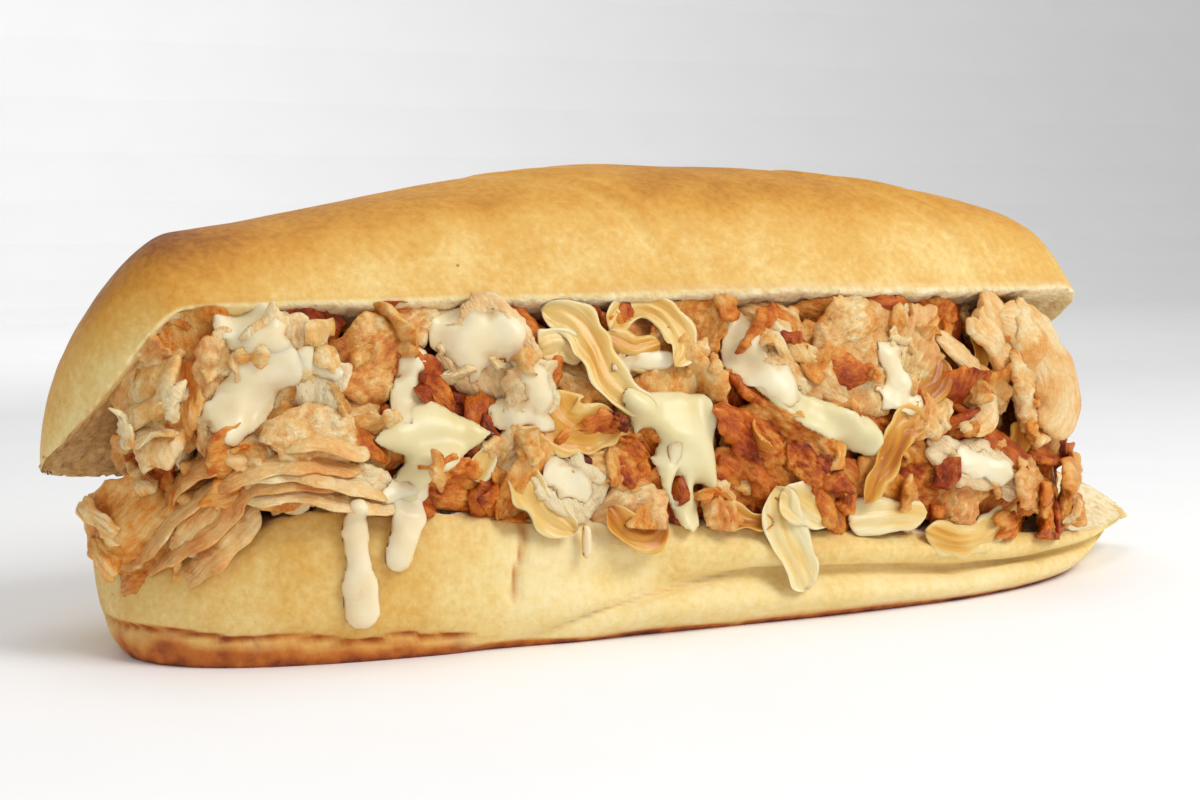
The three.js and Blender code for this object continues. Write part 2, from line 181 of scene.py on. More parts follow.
def per_metre(size_mm):
    """A texture's scale for features of a size in millimetres."""
    return 1 / (size_mm * MM)


print("scale of 5 mm lumps:", per_metre(5), "and a middle grey:", round(colour("808080")[0], 3))

# %% [markdown]
# Each finished piece sits at the origin with its place in its mesh, rides on the one body of the part
# and hides the CAD nodes it stands for.

# %% Finishing a piece


def finish_piece(name, mesh, surface, nodes, slot):
    """Makes a mesh an object with a surface and hides the CAD parts it stands for."""
    mesh.name = name
    mesh.materials.append(surface)
    mesh.shade_smooth()
    made = bpy.data.objects.new(name, mesh)
    bpy.context.scene.collection.objects.link(made)
    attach(made, "root")
    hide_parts(*nodes)
    mesh.calc_loop_triangles()
    print(name, len(mesh.loop_triangles), "triangles")


def mesh_of(bm):
    """The mesh of a bmesh in millimetres, in metres, with its faces turned outwards."""
    bmesh.ops.recalc_face_normals(bm, faces=bm.faces)
    bmesh.ops.scale(bm, vec=(MM, MM, MM), verts=bm.verts)
    mesh = bpy.data.meshes.new("piece")
    bm.to_mesh(mesh)
    bm.free()
    return mesh


def set_values(mesh, name, values):
    """A number or a vector at each vertex that a material can read."""
    values = np.asarray(values, np.float32)
    kind, part = ("FLOAT", "value") if values.ndim == 1 else ("FLOAT_VECTOR", "vector")
    layer = mesh.attributes.new(name, kind, "POINT")
    layer.data.foreach_set(part, values.ravel())


def tree_of(mesh):
    """A search tree over a mesh in metres."""
    bm = bmesh.new()
    bm.from_mesh(mesh)
    tree = BVHTree.FromBMesh(bm)
    bm.free()
    return tree


# %% [markdown]
# ## The roll
# The roll is a soft white-flour roll, cut nearly through. Its cross-section changes along its length:
# three lines run along it (the base's edge, the bottom of the cut and the lid's edge) and the crust
# hangs between them. These are the CAD model's own formulas, so that the two agree.

# %% Sizes of the roll
BASE_ENDS = (-97, 105)
LID_ENDS = (-107.5, 83.5)
HINGE_ENDS = (-78, 62)
HALF_WIDTH = 33.5
LID_REACH = 27
HINGE_BACK = 28
HINGE_WALL = 7.5
CUT_HEIGHT = 16
CUT_FALL = 0.105
LID_EDGE_HEIGHT = 53.5
LID_THICKNESS = 34.5
CREASE_DEPTH = 2.6
BASE_DIP, BASE_TIP_RISE = 9, 2
HINGE_HEIGHT, HINGE_DIPS = 28, (6, 4)
LID_TILT = 0.44
LID_DIP, LID_TIP_RISE = 14, 3
LID_THINNING = (0.33, 0.11)
BOW_LEFT, BOW_BASE_RIGHT, BOW_LID_RIGHT = 9, 10, 2
LID_END_RISE = 12
HINGE_SHARE = 7 / 12
print("base from X", BASE_ENDS[0], "to", BASE_ENDS[1], "and lid from", LID_ENDS[0], "to", LID_ENDS[1])

# %% The lines of the cut


def along(ends, t):
    return lerp(ends[0], ends[1], (t + 1) / 2)


def station_of(ends, x):
    return (2 * x - ends[0] - ends[1]) / (ends[1] - ends[0])


def round_end(t, bluntness):
    return np.sqrt(np.maximum(1 - np.abs(t) ** bluntness, 0))


def base_taper(t):
    right = np.maximum(1 - np.maximum(t, 0) ** 2.2, 0) ** 0.75
    return np.where(t < 0, round_end(t, 7), right)


def lid_taper(t):
    return np.where(t < 0, round_end(t, 14), round_end(t, 8))


def cut_lines(t):
    """Points of the base's edge, the bottom of the cut and the lid's edge at stations from -1 to 1."""
    base_x = along(BASE_ENDS, t)
    base_z = CUT_HEIGHT - CUT_FALL * base_x - BASE_DIP * (1 - smooth(t, -1, -0.72))
    base_z = base_z + BASE_TIP_RISE * smooth(t, 0.7, 1)
    base = np.stack([base_x, -HALF_WIDTH * base_taper(t), base_z], -1)
    left_dip, right_dip = HINGE_DIPS
    hinge_z = HINGE_HEIGHT - left_dip * (1 - smooth(t, -1, -0.4)) - right_dip * smooth(t, 0.4, 1)
    hinge = np.stack([along(HINGE_ENDS, t), HINGE_BACK * (1 - 0.2 * t**4), hinge_z], -1)
    lid_y = -LID_REACH * lid_taper(t)
    lid_z = LID_EDGE_HEIGHT - LID_TILT * (lid_y + LID_REACH)
    lid_z = lid_z - LID_DIP * (1 - smooth(t, -1, -0.82)) + LID_TIP_RISE * smooth(t, 0.7, 1)
    return base, hinge, np.stack([along(LID_ENDS, t), lid_y, lid_z], -1)


for line in cut_lines(np.zeros(1)):
    print("a line of the cut passes", line[0].round(1))

# %% The crust's cross-section


def crust_outline(t):
    """The thirteen points of the crust's cross-section at each station."""
    base, hinge, lid = cut_lines(t)
    width = HALF_WIDTH * base_taper(t)
    fold = smooth(base[:, 0], -46, -8)
    half = (lid - hinge) / 2
    up = np.stack([0 * t, half[:, 2], -half[:, 1]], -1)
    up = up / np.linalg.norm(up, axis=-1, keepdims=True)
    swell = 1 - np.where(t < 0, *LID_THINNING) * smooth(np.abs(t), 0, 0.9)

    def wall(out, share):
        return np.stack([base[:, 0], -out, base[:, 2] * share], -1)

    def dome(run, rise):
        return hinge + half * (1 + run) + up * (rise * LID_THICKNESS * swell)[:, None]

    def low(x_share, y, z):
        return np.stack([lerp(base[:, 0], hinge[:, 0], x_share), y, z], -1)

    return [
        base,
        wall(width + 1.6, 0.8),
        wall(width + 2 - CREASE_DEPTH * fold, lerp(0.55, 0.5, fold)),
        wall(width + 1.6 + 0.8 * fold, 0.25),
        low(0, -0.92 * width, 0 * t - 1.5),
        low(0.3, 0.8 * width, 0 * t - 1.5),
        low(0.6, 1.04 * width, 0.45 * hinge[:, 2]),
        hinge + [0, HINGE_WALL, 2],
        dome(-0.82, 0.62),
        dome(-0.3, 0.98),
        dome(0.35, 0.97),
        dome(0.9, 0.55),
        lid,
    ]


print("points round the crust:", len(crust_outline(np.zeros(1))))

# %% Points of the cut faces and of the crust


def halves(u):
    """Whether u lies on the base, and the share of the way over that half."""
    on_base = u < HINGE_SHARE
    return on_base, np.where(on_base, u / HINGE_SHARE, (u - HINGE_SHARE) / (1 - HINGE_SHARE))


def fullness(t, share):
    """How full an end is, between the tip of a half and the end of the hinge."""
    return np.abs(t) ** 5 * np.sin(np.pi * share)


def bow(t, on_base, share):
    """How far the ends lie outside a straight line in plan."""
    right = np.where(on_base, BOW_BASE_RIGHT, BOW_LID_RIGHT)
    return np.where(t < 0, -BOW_LEFT, right) * fullness(t, share)


def cut_face(t, u):
    """Points of the cut faces, from the base's edge to the bottom of the cut and to the lid's edge."""
    base, hinge, lid = cut_lines(t)
    on_base, share = halves(u)
    way = share[:, None]
    point = np.where(on_base[:, None], lerp(base, hinge, way), lerp(hinge, lid, way))
    point[:, 0] += bow(t, on_base, share)
    point[:, 2] += np.where(on_base | (t < 0), 0, LID_END_RISE * fullness(t, share))
    return point


def crust(t, u):
    """Points of the crust, which closes on the cut face at the ends and is flat where it stands."""
    lid_share = smooth(u, HINGE_SHARE - 0.12, HINGE_SHARE + 0.12)
    base_depth = np.where(t < 0, round_end(t, 30), round_end(t, 5))
    lid_depth = np.where(t < 0, round_end(t, 20), round_end(t, 10))
    depth = lerp(base_depth, lid_depth, lid_share)
    full = through(crust_outline(t), u)
    full[:, 0] += bow(t, *halves(u))
    point = lerp(cut_face(t, u), full, depth[:, None])
    point[:, 2] = np.maximum(point[:, 2], 0)
    return point


print("crown of the roll:", crust(np.zeros(1), np.full(1, 0.78)).round(1))

# %% [markdown]
# Two grids are laid over these formulas, one for the crust and one for the cut faces. They share
# their border, so welding the doubles closes the roll. More rows go to the front of the base, where
# the folds and the torn edge are, than to the underside that nobody sees.

# %% Two grids make the roll
ROLL_COLUMNS = 300
SPAN_ROWS = (13, 9, 9, 10, 7, 8, 9, 12, 15, 17, 17, 14)
ROW_PLACES = np.concatenate(
    [span + np.arange(rows) / rows for span, rows in enumerate(SPAN_ROWS)] + [[len(SPAN_ROWS)]]
) / len(SPAN_ROWS)


def lay_grid(bm, columns, rows, place):
    """A grid whose points are put by a function of the column and row numbers."""
    made = bmesh.ops.create_grid(bm, x_segments=columns, y_segments=rows, size=1)["verts"]
    flat = np.array([v.co for v in made])
    column = np.rint((flat[:, 0] + 1) / 2 * columns).astype(int)
    row = np.rint((flat[:, 1] + 1) / 2 * rows).astype(int)
    for vert, point in zip(made, place(column, row)):
        vert.co = point
    return made, column, row


roll = bmesh.new()
layers = {name: roll.verts.layers.float.new(name) for name in ("u", "cut")}
for cut, formula in enumerate((crust, cut_face)):
    stations = np.sin((np.arange(ROLL_COLUMNS + 1) / ROLL_COLUMNS - 0.5) * np.pi)
    verts, _, row = lay_grid(
        roll, ROLL_COLUMNS, len(ROW_PLACES) - 1, lambda c, r: formula(stations[c], ROW_PLACES[r])
    )
    for vert, u in zip(verts, ROW_PLACES[row]):
        vert[layers["u"]], vert[layers["cut"]] = u, cut
bmesh.ops.remove_doubles(roll, verts=roll.verts, dist=0.002)
bmesh.ops.recalc_face_normals(roll, faces=roll.faces)
roll.normal_update()
roll_points = np.array([v.co for v in roll.verts])
roll_normals = np.array([v.normal for v in roll.verts])
roll_u, roll_cut = (np.array([v[layer] for v in roll.verts]) for layer in layers.values())
print("roll vertices:", len(roll_points))

# %% [markdown]
# A baked roll is never a clean surface. Broad lumps and fine wrinkles go over the crust, a fold is
# pressed along the front of the base, the dough has split beside it, and the sole stands out as a
# ledge on the left. Shallow slanting grooves on the lid are where the dough was slashed. The cut faces
# get the pores of the crumb and their edges are ragged. Sculpting would do it too; sums of noise and
# bell curves, pushed along the normals, can be read and changed one by one.

# %% Lumps and slashes
SLASHES = [(-34, 0.7), (-27, 0.5), (27, 0.8), (34, 0.6), (58, 0.5)]  # X on the middle line and depth


def bell(distance, width):
    return np.exp(-((distance / width) ** 2))


x, y, z = roll_points.T
on_crust = 1 - roll_cut
off_floor = smooth(z, 0.6, 3.5)
front = on_crust * smooth(-y, 5, 15) * smooth(0.36 - roll_u, 0, 0.02)
on_lid = smooth(roll_u, HINGE_SHARE - 0.03, HINGE_SHARE + 0.05)
edge = bell(np.minimum(roll_u, 1 - roll_u), 0.007)
stretched = roll_points * (0.35, 1, 1)
push = on_crust * off_floor * (
    0.5 * grain(roll_points, 34, 1) + 0.28 * grain(roll_points, 13, 2) + 0.1 * grain(stretched, 3.6, 3)
)
seam = np.zeros(len(x))
for start, depth in SLASHES:
    off_line = x + 0.9 * y - start + 1.2 * grain(roll_points, 15, 16)
    seam += depth * bell(off_line, 1.1) - 0.6 * depth * bell(off_line - 3.5, 2.6)
seam *= on_crust * on_lid * smooth(roll_normals[:, 2], 0.3, 0.75) * smooth(22 - y, 0, 10)
push -= 0.8 * seam
print("deepest slash:", (0.8 * seam.max()).round(2), "mm")

# %% The fold, the split and the ledge of the sole
# Each line is a row of X and a row of Z.
CREASE_LINE = (
    (-60, -41, -20.6, -0.5, 20.7, 41, 62.5, 90),
    (0.4, 1.4, 7, 8.9, 7.8, 5.6, 5.4, 5.6),
)
LEDGE_LINE = ((-100, -75, -52, -44), (5.6, 4.2, 3.2, 1.8))
crease_z = np.interp(x, *CREASE_LINE)
crease_run = front * smooth(x, -50, -26) * (1 - smooth(x, 70, 88))
below = z - crease_z
push += crease_run * (
    -1.4 * bell(below, 0.85) + 1.0 * bell(below - 2.6, 2.4) + 0.7 * bell(below + 2.8, 2.2)
)
split_x = -42.5 + 0.12 * (z - 12) + 0.5 * np.sin(z / 2.2)
split = front * bell(x - split_x, 0.65) * smooth(z, 6, 9.5)
push -= 1.2 * split
along_x = roll_points * (1, 0, 0)
ledge_z = np.interp(x, *LEDGE_LINE) + 0.9 * grain(along_x, 9, 10) + 0.4 * grain(along_x, 3, 17)
ledge_run = front * (1 - smooth(x, -54, -46))
push += ledge_run * (-0.8 * bell(z - ledge_z, 0.45) + 0.5 * smooth(ledge_z - z, 0, 1.2))
print("relief so far from", push.min().round(2), "to", push.max().round(2), "mm")

# %% Pores of the crumb and a soft rim
RIM_SHARE = 0.012


def relax(bm, verts, times):
    """Draws vertices towards their neighbours."""
    for _ in range(times):
        bmesh.ops.smooth_vert(
            bm, verts=verts, factor=0.5, use_axis_x=True, use_axis_y=True, use_axis_z=True
        )


wide_pores = smooth(grain(roll_points, 2.6, 5), 0.1, 0.6)
fine_pores = smooth(grain(roll_points, 1.5, 6), 0.1, 0.6)
pores = wide_pores + 0.6 * fine_pores
push += roll_cut * (0.6 * grain(roll_points, 10, 7) - 0.7 * pores)
push += edge * (0.3 * grain(roll_points, 3.2, 8) + 0.15 * grain(roll_points, 1.4, 9))
moved = roll_points + roll_normals * push[:, None]
moved[:, 2] = np.maximum(moved[:, 2], 0)
for vert, point in zip(roll.verts, moved):
    vert.co = point
rim_verts = [v for v, u in zip(roll.verts, roll_u) if min(u, 1 - u) < RIM_SHARE]
relax(roll, rim_verts, 6)
print("relief from", push.min().round(2), "to", push.max().round(2), "mm")

# %% [markdown]
# How far the crust is baked is worked out at every vertex: pale at the lid's edge and where rolls
# touched in the oven, golden on the crown, brown on the sole, with some painted shade at the left end.
# The material turns it into colour.

# %% How far the skin is baked, with some painted shade at the left
nz = roll_normals[:, 2]
back = smooth(y, 8, 26)
crown = smooth(nz, -0.15, 0.95) ** 1.35
bake = 0.1 + 0.5 * crown * on_lid + 0.12 * grain(roll_points, 26, 11) + 0.06 * grain(roll_points, 8, 12)
# The lid is darker at its left end and on top of its crown, and its edge on the left is paler. At the
# left end the darkening is partly a browner crust and partly painted shade.
bake += on_lid * 0.3 * bell(x + 90, 16) * smooth(nz, -0.1, 0.6)
bake += on_lid * 0.12 * bell(x - 5, 40) * smooth(nz, 0.5, 0.95)
bake += on_lid * 0.24 * smooth(-x, 86, 104)
bake -= on_lid * smooth(-x, 40, 90) * 0.2 * smooth(roll_u, 0.94, 1)
# The back is baked through, the left end of the cut is darker and more golden, and the slashes stay pale.
bake += 0.3 * back * (1 - 0.5 * crown)
bake += 0.3 * roll_cut * smooth(-x, 60, 88) - 0.14 * np.clip(seam, -0.5, 1)
# The base is a little darker on the left, partly a tan crust and partly painted shade, and a little
# darker above the fold.
left_base = (1 - on_lid) * smooth(-x, 36, 60)
bake += 0.18 * left_base + 0.05 * (1 - on_lid)
above_fold = smooth(z / np.maximum(crease_z, 1), 1, 1.6) * smooth(x, -40, -10)
bake += (1 - on_lid) * (1 - back) * 0.14 * above_fold
print("bake from", bake.min().round(2), "to", bake.max().round(2))

# %% Where it is charred, where shade is painted into the grooves, and where crumb shows
char_and_groove_shade = front * (1 - smooth(z, 0.5, 1.5)) * (0.55 + 0.3 * grain(roll_points, 7, 13))
sunk = np.clip(1 - z / ledge_z, 0, 1)
ledge_char = 0.12 + 0.5 * sunk + 0.12 * grain(roll_points, 5, 14)
sole = on_crust * (1 - smooth(z, 0.2, 3)) * smooth(-nz, 0.2, 0.9)
for burnt_and_shaded_place in (
    ledge_run * smooth(sunk, 0, 0.1) * ledge_char,
    # Painted shade: the line over the ledge, the split and the bottom of the fold are darkened like char.
    0.45 * bell(z - ledge_z, 0.5) * ledge_run,
    sole * (0.4 + 0.2 * grain(roll_points, 12, 15)),
    0.28 * split,
    0.16 * crease_run * bell(below, 0.4),
):
    char_and_groove_shade = np.maximum(char_and_groove_shade, burnt_and_shaded_place)
crumb = np.maximum(roll_cut, edge * lerp(0.15, 0.8, on_lid * smooth(x, -40, 20)))
crumb = crumb * lerp(1, 0.3, smooth(-x, 60, 88))
roll_mesh = mesh_of(roll)
for name, values in (("bake", bake), ("char_and_groove_shade", char_and_groove_shade), ("crumb", crumb)):
    set_values(roll_mesh, name, np.clip(values, 0, 1))
print("most charred:", char_and_groove_shade.max().round(2), "share of crumb:", crumb.mean().round(2))

# %% [markdown]
# ### Crust and crumb
# Milk-washed bread crust, baked: a thin skin with a soft satin sheen over pale crumb, mottled in
# flecks of about a millimetre, with a few dark specks of flour and char. The torn crumb is matt and
# full of pores. A little light passes under the skin, which keeps the shadows warm.

# %% Colours of the bread
SKIN = [(0, "F5E4B2"), (1, "8A4E1C"), (0.2, "EED38C"), (0.42, "DFB05A")]
SKIN += [(0.62, "D2963A"), (0.8, "B87A26")]
CRUMB = [(0, "D8B474"), (1, "FDF2D6"), (0.42, "EED7A2"), (0.56, "F6E6BE")]
# The char colours also paint the shade in the grooves of the base.
CHAR_AND_SHADE = [(0, "DDA04A"), (1, "3A1B0B"), (0.35, "C87228"), (0.7, "8E3E16")]
MOTTLING = 0.34
bread, tree, shader, coords = material("baked_bread_crust_and_crumb")
bake_and_shade_in, char_and_shade_in, crumb_in = (
    add(tree, "Attribute", attribute_name=name).outputs["Fac"] for name in ("bake", "char_and_groove_shade", "crumb")
)
mottle = add(
    tree, "TexNoise", {"Vector": coords, "Scale": per_metre(7), "Detail": 5, "Roughness": 0.65}
)
fleck = add(
    tree, "TexNoise", {"Vector": coords, "Scale": per_metre(1.3), "Detail": 3, "Roughness": 0.6}
)
baked_and_shaded = add(tree, "Math", {0: mottle, 1: MOTTLING, 2: bake_and_shade_in}, operation="MULTIPLY_ADD")
baked_and_shaded = add(tree, "Math", {0: fleck, 1: MOTTLING, 2: baked_and_shaded}, operation="MULTIPLY_ADD")
baked_and_shaded = add(tree, "Math", {0: baked_and_shaded, 1: MOTTLING}, operation="SUBTRACT")
skin = add(tree, "ValToRGB", {"Fac": baked_and_shaded}, stops=SKIN)
crumb_noise = add(tree, "TexNoise", {"Vector": coords, "Scale": per_metre(1.5), "Detail": 5})
crumb_colour = add(tree, "ValToRGB", {"Fac": crumb_noise}, stops=CRUMB)
torn = add(tree, "Mix", {0: crumb_in, 6: skin, 7: crumb_colour}, data_type="RGBA").outputs[2]
char_and_shade_noise = add(tree, "TexNoise", {"Vector": coords, "Scale": per_metre(3), "Detail": 4})
charred_and_shaded = add(tree, "Math", {0: char_and_shade_noise, 1: 1.1, 2: char_and_shade_in}, operation="MULTIPLY_ADD")
charred_and_shaded = add(tree, "Math", {0: charred_and_shaded, 1: 0.52}, operation="SUBTRACT")
char_and_shade_colour = add(tree, "ValToRGB", {"Fac": charred_and_shaded}, stops=CHAR_AND_SHADE)
char_and_shade_mask = add(tree, "MapRange", {"Value": char_and_shade_in, "From Min": 0.05, "From Max": 0.35})
burnt_and_shaded = add(tree, "Mix", {0: char_and_shade_mask, 6: torn, 7: char_and_shade_colour}, data_type="RGBA").outputs[2]
speck_cells = add(tree, "TexVoronoi", {"Vector": coords, "Scale": per_metre(12)})
speck = add(
    tree, "MapRange", {"Value": speck_cells, "From Min": 0.03, "From Max": 0.015, "To Max": 0.6}
)
specked = add(tree, "Mix", {0: speck, 6: burnt_and_shaded, 7: colour("5E3414")}, data_type="RGBA").outputs[2]
print("bread colours:", len(SKIN) + len(CRUMB) + len(CHAR_AND_SHADE))

# %% Sheen and relief of the bread
shine = add(tree, "MapRange", {"Value": crumb_in, "To Min": 0.52, "To Max": 0.9})
shine = add(tree, "Math", {0: fleck, 1: 0.16, 2: shine}, operation="MULTIPLY_ADD")
pit_cells = add(tree, "TexVoronoi", {"Vector": coords, "Scale": per_metre(2.6), "Randomness": 1.0})
pit = add(tree, "MapRange", {"Value": pit_cells, "From Min": 0.05, "From Max": 0.3})
relief = add(tree, "Bump", {"Height": pit, "Strength": 0.3, "Distance": 0.25 * MM})
relief = add(tree, "Bump", {"Height": fleck, "Strength": 0.55, "Distance": 0.4 * MM, "Normal": relief})
pores_in = {"Height": crumb_noise, "Strength": crumb_in, "Distance": 0.9 * MM, "Normal": relief}
relief = add(tree, "Bump", pores_in)
connect(
    tree,
    shader,
    {
        "Base Color": specked,
        "Roughness": shine,
        "Normal": relief,
        "IOR": 1.45,
        "Specular IOR Level": 0.35,
        "Subsurface Weight": 0.12,
        "Subsurface Radius": (1.0, 0.6, 0.3),
        "Subsurface Scale": 2 * MM,
    },
)
finish_piece("bread_roll", roll_mesh, bread, ["roll"], "bread")
bread_tree = tree_of(roll_mesh)

# %% [markdown]
# ## The heap
# The filling is a heap of chopped grilled chicken. Underneath is a lumpy core, coloured dark as painted
# shade, that nobody should notice; over it lie slices, shreds and crumbs, each with its own torn outline
# and curl. First come the places where they lie: the front face of the heap, and the room between the
# cut faces.

# %% Where the heap lies
HEAP_RUN = (-0.88, 0.66)
HEAP_SET_BACK, HEAP_BULGE = (1.5, 6), 3.5
LAST_STATION = 0.98
BREAD_OVERLAP = 0.4
WALL_GAP = 2.6


def heap_face(t, height):
    """Points of the heap's front at stations, a share of the way from the base's edge to the lid's."""
    base, _, lid = cut_lines(t)
    point = lerp(base, lid, height[:, None])
    point[:, 1] += lerp(*HEAP_SET_BACK, height) - HEAP_BULGE * np.sin(np.pi * height)
    return point


def on_front(x, z, standoff):
    """The point that is seen at X and Z: off the heap's face, or in front of the base's wall."""
    height = (z - CUT_HEIGHT + CUT_FALL * x) / (LID_EDGE_HEIGHT - CUT_HEIGHT + CUT_FALL * x)
    share = min(max(height, 0), 1)
    ends = [lerp(b, l, share) for b, l in zip(BASE_ENDS, LID_ENDS)]
    t = np.array([min(max(station_of(ends, x), -0.97), 0.97)])
    face = heap_face(t, np.array([share]))[0]
    return np.array([x, face[1] - (max(standoff, 4.2) if height < 0 else standoff), z])


def tucked(points, hangs=False, under_lid=True):
    """Moves points out of the bread: over the base's cut face, under the lid's, or before the wall."""
    made = points.copy()
    for _ in range(2):
        x, y, z = made.T
        base, hinge, _ = cut_lines(np.clip(station_of(BASE_ENDS, x), -LAST_STATION, LAST_STATION))
        share = np.clip((y - base[:, 1]) / (hinge[:, 1] - base[:, 1]), 0, 1)
        ends = [lerp(b, h, share) for b, h in zip(BASE_ENDS, HINGE_ENDS)]
        base, hinge, _ = cut_lines(np.clip(station_of(ends, x), -LAST_STATION, LAST_STATION))
        floor = lerp(base[:, 2], hinge[:, 2], share) - BREAD_OVERLAP
        before = hangs & (y < base[:, 1] + 2) & (z < base[:, 2] - 0.5)
        made[:, 1] = np.where(before, np.minimum(y, base[:, 1] - WALL_GAP), y)
        made[:, 2] = np.where(before, z, np.maximum(z, floor))
        _, hinge, lid = cut_lines(np.clip(station_of(LID_ENDS, x), -LAST_STATION, LAST_STATION))
        share = np.clip((y - hinge[:, 1]) / (lid[:, 1] - hinge[:, 1]), 0, 1)
        ceiling = lerp(hinge[:, 2], lid[:, 2], share) + BREAD_OVERLAP
        under = (share < 1) | under_lid
        made[:, 2] = np.where(under, np.minimum(made[:, 2], ceiling), made[:, 2])
    return made


print("heap front at the middle:", on_front(0, 35, 0).round(1))

# %% [markdown]
# The core fills the room between the cut faces, so that no gap between slices shows the bread or the
# light behind. A plain block would stick out where the cut narrows, so a ring of points follows the
# bread's own lines, a grid is laid round it, and noise dents it like packed meat.

# %% The core of the heap
CORE_COLUMNS, CORE_ROWS = 150, 60
CORE_INSET = 4.5


def core_points(column, row):
    run = np.sin((column / CORE_COLUMNS - 0.5) * np.pi)
    t = along((HEAP_RUN[0] - 0.04, HEAP_RUN[1] + 0.04), run)
    ring = [cut_face(t, 0 * t + share * HINGE_SHARE) for share in (0.1, 0.5, 0.86)]
    ring += [cut_face(t, 0 * t + lerp(HINGE_SHARE, 1, share)) for share in (0.14, 0.5, 0.92)]
    ring += [heap_face(t, 0 * t + height) for height in (0.85, 0.6, 0.35, 0.12)]
    centre = sum(ring) / len(ring)
    point = through(ring + ring[:1], (row % CORE_ROWS) / CORE_ROWS)
    inward = centre - point
    reach = np.linalg.norm(inward, axis=-1, keepdims=True)
    point = point + inward / np.maximum(reach, 1) * np.minimum(CORE_INSET, reach)
    return lerp(centre, point, round_end(run, 16)[:, None])


core = bmesh.new()
lay_grid(core, CORE_COLUMNS, CORE_ROWS, core_points)
bmesh.ops.remove_doubles(core, verts=core.verts, dist=0.002)
bmesh.ops.recalc_face_normals(core, faces=core.faces)
core.normal_update()
core_at = np.array([v.co for v in core.verts])
core_push = 1.5 * grain(core_at, 7, 21) + 0.8 * grain(core_at, 3, 22)
for vert, push in zip(core.verts, core_push):
    vert.co = vert.co + vert.normal * push
core_mesh = mesh_of(core)
# The core is coloured near the darkest brown: painted shade deep in the heap.
set_values(core_mesh, "brown", np.clip(0.95 + 0.12 * core_push, 0, 1))
set_values(core_mesh, "sauced", np.zeros(len(core_at)))
set_values(core_mesh, "lay", core_at)
print("core vertices:", len(core_at))

# %% [markdown]
# ### Slices of chicken
# A slice starts as a flat grid made into a thin closed shell. Its outline is torn by noise that grows
# towards the edge, its faces get the relief of meat fibres, and it is bent round two axes. Hundreds
# are needed, so the shell is made once and its points are moved as an array for each slice; all the
# slices are then joined into one mesh.

# %% A thin closed shell


def shell(columns, rows):
    """Column and row places from -1 to 1, side and faces of a thin closed grid."""
    bm = bmesh.new()
    bmesh.ops.create_grid(bm, x_segments=columns, y_segments=rows, size=1)
    bmesh.ops.solidify(bm, geom=bm.faces[:], thickness=0.1)
    bmesh.ops.recalc_face_normals(bm, faces=bm.faces)
    bmesh.ops.triangulate(bm, faces=[f for f in bm.faces if len(f.verts) > 4])
    bm.verts.index_update()
    points = np.array([v.co for v in bm.verts])
    faces = [[v.index for v in f.verts] for f in bm.faces]
    bm.free()
    middle = (points[:, 2].max() + points[:, 2].min()) / 2
    return points[:, 0], points[:, 1], np.sign(points[:, 2] - middle), faces


COARSE_BLANK = shell(18, 12)
FINE_BLANK = shell(42, 27)
print("slice shell:", len(FINE_BLANK[0]), "vertices,", len(FINE_BLANK[3]), "faces")

# %% One torn slice


def torn_slice(blank, length, width, thick, curl, twist, seed, clump):
    """Points of a slice lying flat, how browned each is (darker in its troughs as painted shade), and
    where each lies along the fibres.

    clump goes from 0, long fibres with frayed ends, to 1, a lumpy chunk.
    """
    a, b, side, _ = blank
    seed = 3.3 * seed
    rim = np.maximum(np.abs(a), np.abs(b)) ** 5
    run, spread = a * np.sqrt(1 - 0.4 * b * b) * length / 2, b * np.sqrt(1 - 0.4 * a * a) * width / 2
    flat = np.stack([run, spread, 0 * a], -1)
    for size, amount in ((0.55 * length, 0.22 * width), (2.8, 1.0 * rim), (1.3, 0.55 * rim)):
        shift = np.stack([grain(flat, size, seed + k) for k in (1, 2)] + [0 * a], -1)
        flat = flat + shift * np.broadcast_to(amount, len(a))[:, None]
    fray = (1 - clump) * np.sign(a) * np.abs(a) ** 5 * 0.13 * length
    across = flat * (0, 1, 0)
    flat[:, 0] += fray * (grain(across, 2.4, seed + 11) + 0.5 * grain(across, 1.3, seed + 13))
    drawn_out = flat * (lerp(0.3, 0.9, clump), 1.4, 1)
    lumps = np.abs(grain(flat, 2.6, seed + 3)) + 0.5 * np.abs(grain(flat, 1.2, seed + 4))
    fibres = np.abs(grain(drawn_out, 1.7, seed + 5)) + 0.4 * np.abs(grain(drawn_out, 1.0, seed + 6))
    relief = 0.9 * fibres + (0.3 + 0.9 * clump) * lumps
    wave = 0.9 * grain(flat, 8, seed + 7) + 1.8 * np.abs(grain(flat, 9, seed + 12))
    wave = wave + 1.3 * rim * grain(flat, 4, seed + 8)
    depth = side * (thick / 2 * (1 - 0.8 * rim) + 0.75 * relief * (1 - 0.6 * rim)) + wave
    bend = curl / length + 1e-6
    angle = bend * flat[:, 0]
    x = np.sin(angle) / bend - depth * np.sin(angle)
    z = (1 - np.cos(angle)) / bend + depth * np.cos(angle)
    turn = (0.6 * curl * np.sin(seed) / width) * flat[:, 1] + twist * flat[:, 0] / length
    y = flat[:, 1] * np.cos(turn) - z * np.sin(turn)
    z = flat[:, 1] * np.sin(turn) + z * np.cos(turn)
    # Where the relief sinks the slice is darker: painted shade in its troughs, on top of random browning.
    brown = 0.22 * grain(flat, 6, seed + 9) + 0.25 * (0.5 - relief)
    brown = brown + 0.14 * rim * grain(flat, 3, seed + 10)
    return np.stack([x, y, z - z.mean()], -1), brown, flat * (1 + 3.5 * clump, 1, 1) + (0, 0, 7 * seed)


sample = torn_slice(COARSE_BLANK, 16, 10, 2, 0.5, 0, 1, 0.5)[0]
print("a slice of 16 by 10 mm is torn to", (sample.max(0) - sample.min(0)).round(1))

# %% Putting slices in place and joining them


